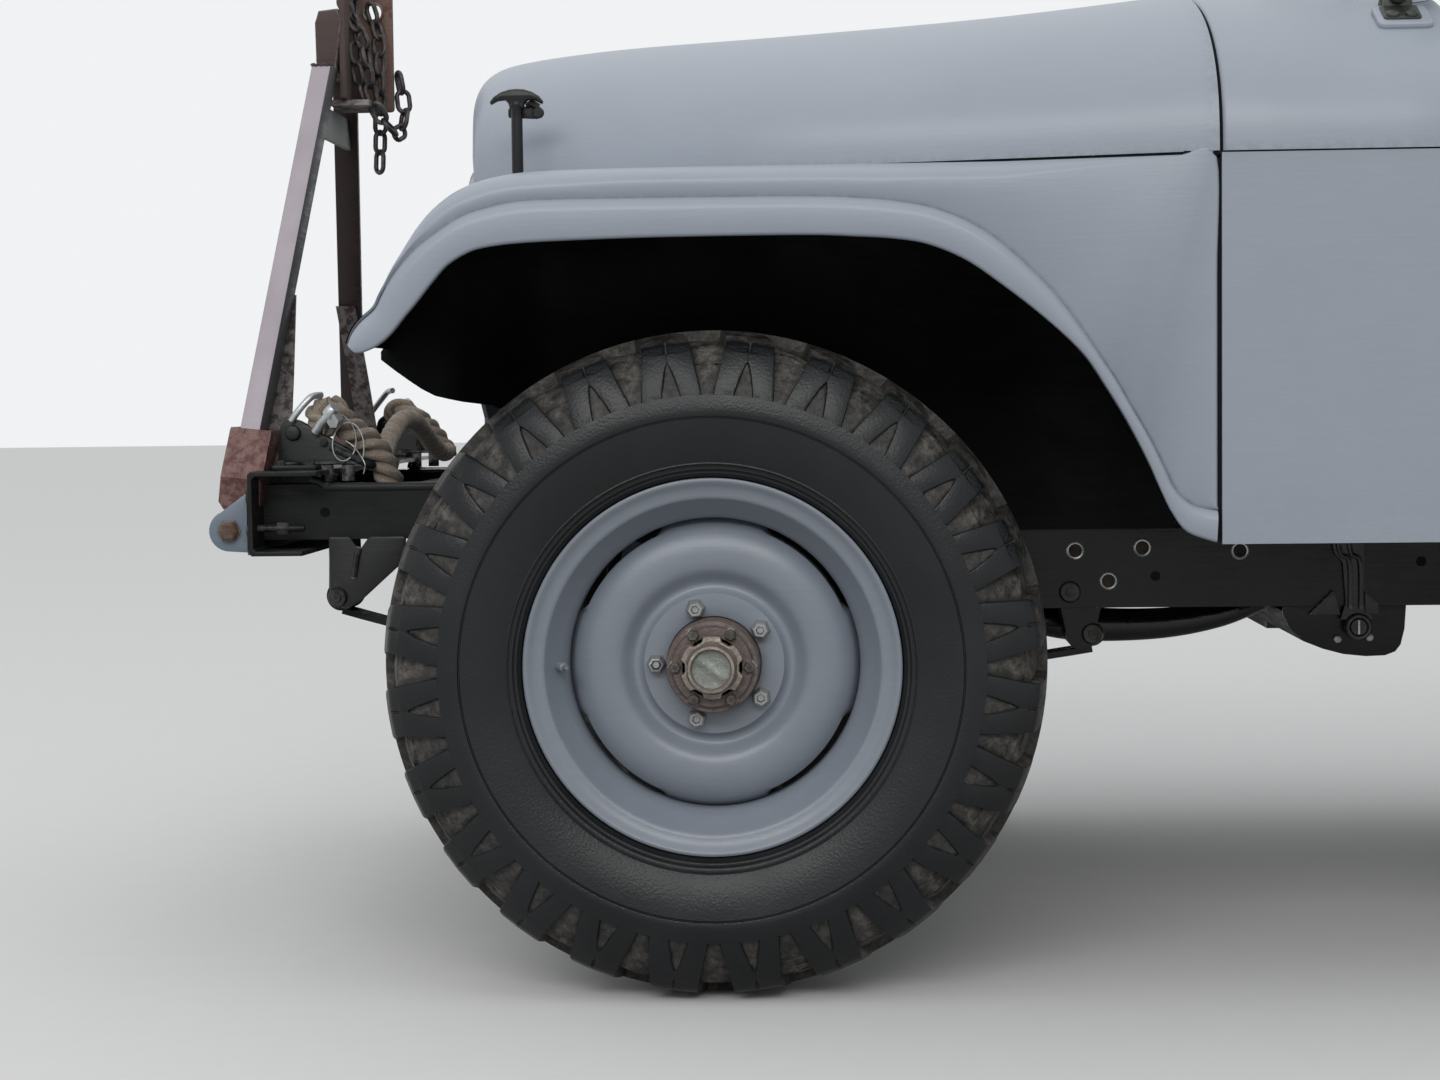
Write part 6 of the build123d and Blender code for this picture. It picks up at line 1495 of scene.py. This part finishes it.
def makePanel():
    face, dials, rings, controls = [], [], [], []
    x = frontX - 0.8735
    face.append(plate([rounded([(-0.15, 1.085), (0.15, 1.085), (0.15, 1.222), (-0.15, 1.222)], 0.016)],
                      0.003, facePlane(x), 0.0008))
    for y, z, r in ((0, 1.16, 0.042), (-0.086, 1.182, 0.022), (-0.086, 1.124, 0.022), (0.086, 1.182, 0.022),
                    (0.086, 1.124, 0.022)):
        rings.append(lathe([(r - 0.004, 0.002), (r - 0.003, 0.006), (r, 0.0065), (r + 0.003, 0.003),
                            (r + 0.003, 0)], (x - 0.001, y, z), (-1, 0, 0), 40))
        dials.append(lathe([(0, 0.0025), (r - 0.004, 0.0025)], (x - 0.001, y, z), (-1, 0, 0), 36))
        for k in range(7):
            turn = math.radians(-30 + 40 * k)
            at = np.array((x - 0.0038, y + (r - 0.009) * math.cos(turn), z + (r - 0.009) * math.sin(turn)))
            rings.append(lathe([(0, 0.0006), (0.0011, 0.0006), (0.0011, 0)], at, (-1, 0, 0), 8))
        controls.append(tube(np.array([(x - 0.0045, y, z), (x - 0.0045, y + 0.6 * r, z + 0.35 * r)]), 0.0007,
                             6))
    for y in (-0.19, 0.19, 0.225):
        controls.append(lathe([(0, 0.022), (0.007, 0.021), (0.01, 0.017), (0.01, 0.013), (0.003, 0.01),
                               (0.003, 0)], (x + 0.001, y, 1.15), (-1, 0, 0), 20))
    # gear and transfer levers on the tunnel, with knobs, then the pedals
    levers = [
        ([(0.22, 0.0, 0.64), (0.205, 0.0, 0.78), (0.16, 0.01, 0.9), (0.135, 0.02, 0.96)], 0.0065, 0.021),
        ([(0.17, -0.055, 0.64), (0.155, -0.058, 0.74), (0.13, -0.07, 0.84)], 0.0055, 0.015),
        ([(0.17, -0.095, 0.64), (0.155, -0.098, 0.73), (0.132, -0.108, 0.815)], 0.0055, 0.015),
    ]
    for path, r, knob in levers:
        line = smoothLine([np.array(q) for q in path], 24)
        controls.append(tube(line, r, 10, up=(0, 1, 0)))
        turn = np.linspace(-1.35, math.pi / 2, 12)
        controls.append(lathe([(knob * math.cos(a), knob * math.sin(a)) for a in turn[::-1]]
                              + [(0, -knob * 0.9)], line[-1], (-0.25, 0, 1), 24))
    for y, z in ((0.56, 0.78), (0.462, 0.78), (0.258, 0.76)):
        pedal = rounded([(y - 0.028, z - 0.024), (y + 0.028, z - 0.024), (y + 0.028, z + 0.024),
                         (y - 0.028, z + 0.024)], 0.006)
        controls.append(plate([pedal], 0.007, facePlane(frontX - 0.7), 0.0015))
        arm = smoothLine([(frontX - 0.696, y, z), (frontX - 0.67, y, z - 0.06),
                          (frontX - 0.668, y, z - 0.15)], 14)
        controls.append(tube(arm, 0.0055, 8, up=(0, 1, 0)))
    piece("panel_face", face, "bodyPaint", "chassis", sharp=40)
    piece("dial_faces", dials, "blackRubber", "chassis", sharp=40)
    piece("dial_rings", rings, "nutZinc", "chassis", sharp=40)
    piece("cabin_controls", controls, "blackRubber", "chassis", sharp=40)


def makeRearLamps():
    lenses, rings = [], []
    for side in (1, -1):
        c = (-1.593, side * 0.69, 0.69)
        rings.append(lathe([(0.029, 0.002), (0.03, 0.007), (0.035, 0.007), (0.0375, 0.003),
                            (0.0378, -0.002)], c, (-1, 0, 0), 40))
        lenses.append(lathe([(0, 0.0095), (0.012, 0.009), (0.022, 0.007), (0.029, 0.0035), (0.0295, 0.0005)],
                            c, (-1, 0, 0), 36))
    piece("tail_rings", rings, "nutZinc", "chassis", sharp=40)
    piece("tail_lenses", lenses, "redLens", "chassis", sharp=50)


makeCushions(cushionSettings)
makePanel()
makeRearLamps()
print("cabin made")

# CAD nodes that keep their shape get their finish here
keptFinish = {
    "frame": "satinBlack", "front_axle": "satinBlack", "rear_axle": "satinBlack",
    "leaf_springs": "satinBlack", "spring_hangers": "satinBlack", "engine": "castGrey", "gearbox": "castGrey",
    "prop_shafts": "satinBlack", "exhaust": "exhaustRust", "grille": "bodyPaint",
    "tail_lamps": "bodyPaint", "tub": "bodyPaint", "bumperettes": "satinBlack",
    "pintle_hook": "satinBlack", "spare_carrier": "bodyPaint", "steering_column": "bodyPaint",
    "driver_seat_frame": "bodyPaint", "passenger_seat_frame": "bodyPaint", "rear_seat_frame": "bodyPaint",
    "windscreen_frame": "bodyPaint", "windscreen_glass": "clearGlass", "knuckle_left": "satinBlack",
    "knuckle_right": "satinBlack", "tie_rod": "satinBlack", "steering_wheel": "blackRubber",
}
for name, finish in keptFinish.items():
    if name in nodes:
        nodes[name].data.materials.clear()
        nodes[name].data.materials.append(paints[finish])

# Floor and light: camera, glossy and transmission rays see the pale floor and sky, darker ones light the car
stage = {"floor": (0.68, 0.68, 0.67), "floorBelow": 0.22, "horizon": 0.36, "zenith": 1.05,
         "shown": (0.875, 0.89, 0.905),
         "lamp": {"place": (1.7, 8.2, 5.4), "size": (8.5, 2.6), "energy": 325.0}}


def makeStage(s):
    mesh = bpy.data.meshes.new("floor")
    mesh.from_pydata([(-40, -40, 0), (40, -40, 0), (40, 40, 0), (-40, 40, 0)], [], [(0, 1, 2, 3)])
    floor = bpy.data.objects.new("floor", mesh)
    scene.collection.objects.link(floor)

    def shownRays(tree):
        rays = tree.nodes.new("ShaderNodeLightPath").outputs
        return maths(tree, "MAXIMUM", maths(tree, "MAXIMUM", rays["Is Camera Ray"], rays["Is Glossy Ray"]),
                     rays["Is Transmission Ray"])

    made, tree, shader, where = blank("floorMatt")
    speck = noise(tree, where, 18.0, 6.0, 0.7)
    pale = mixed(tree, speck, colour4([0.97 * c for c in s["floor"]]),
                 colour4([1.03 * c for c in s["floor"]]))
    tree.links.new(mixed(tree, shownRays(tree), colour4([s["floorBelow"]] * 3), pale),
                   shader.inputs["Base Color"])
    shader.inputs["Roughness"].default_value = 0.9
    mesh.materials.append(made)
    world = bpy.data.worlds.new("sky")
    scene.world = world
    world.use_nodes = True
    tree = world.node_tree
    tree.nodes.clear()
    end = tree.nodes.new("ShaderNodeOutputWorld")
    where = tree.nodes.new("ShaderNodeTexCoord").outputs["Generated"]
    height = newNode(tree, "SeparateXYZ", {0: where}).outputs[2]
    glow = spread(tree, height, 0.0, 1.0, s["horizon"], s["zenith"])
    light = newNode(tree, "Background", {"Color": (0.985, 1.0, 1.02, 1), "Strength": glow})
    plain = newNode(tree, "Background", {"Color": colour4(s["shown"]), "Strength": 1.0})
    mix = newNode(tree, "MixShader", {0: shownRays(tree), 1: light.outputs[0], 2: plain.outputs[0]})
    tree.links.new(mix.outputs[0], end.inputs[0])
    lamp = bpy.data.lights.new("skylight", "AREA")
    lamp.shape, lamp.energy = "RECTANGLE", s["lamp"]["energy"]
    lamp.size, lamp.size_y = s["lamp"]["size"]
    lamp.color = (1.0, 0.995, 0.985)
    holder = bpy.data.objects.new("skylight", lamp)
    scene.collection.objects.link(holder)
    holder.location = s["lamp"]["place"]
    holder.rotation_mode = "QUATERNION"
    holder.rotation_quaternion = (Vector((0.4, 0, 0.6)) - holder.location).to_track_quat("-Z", "Y")


makeStage(stage)
print("stage made")
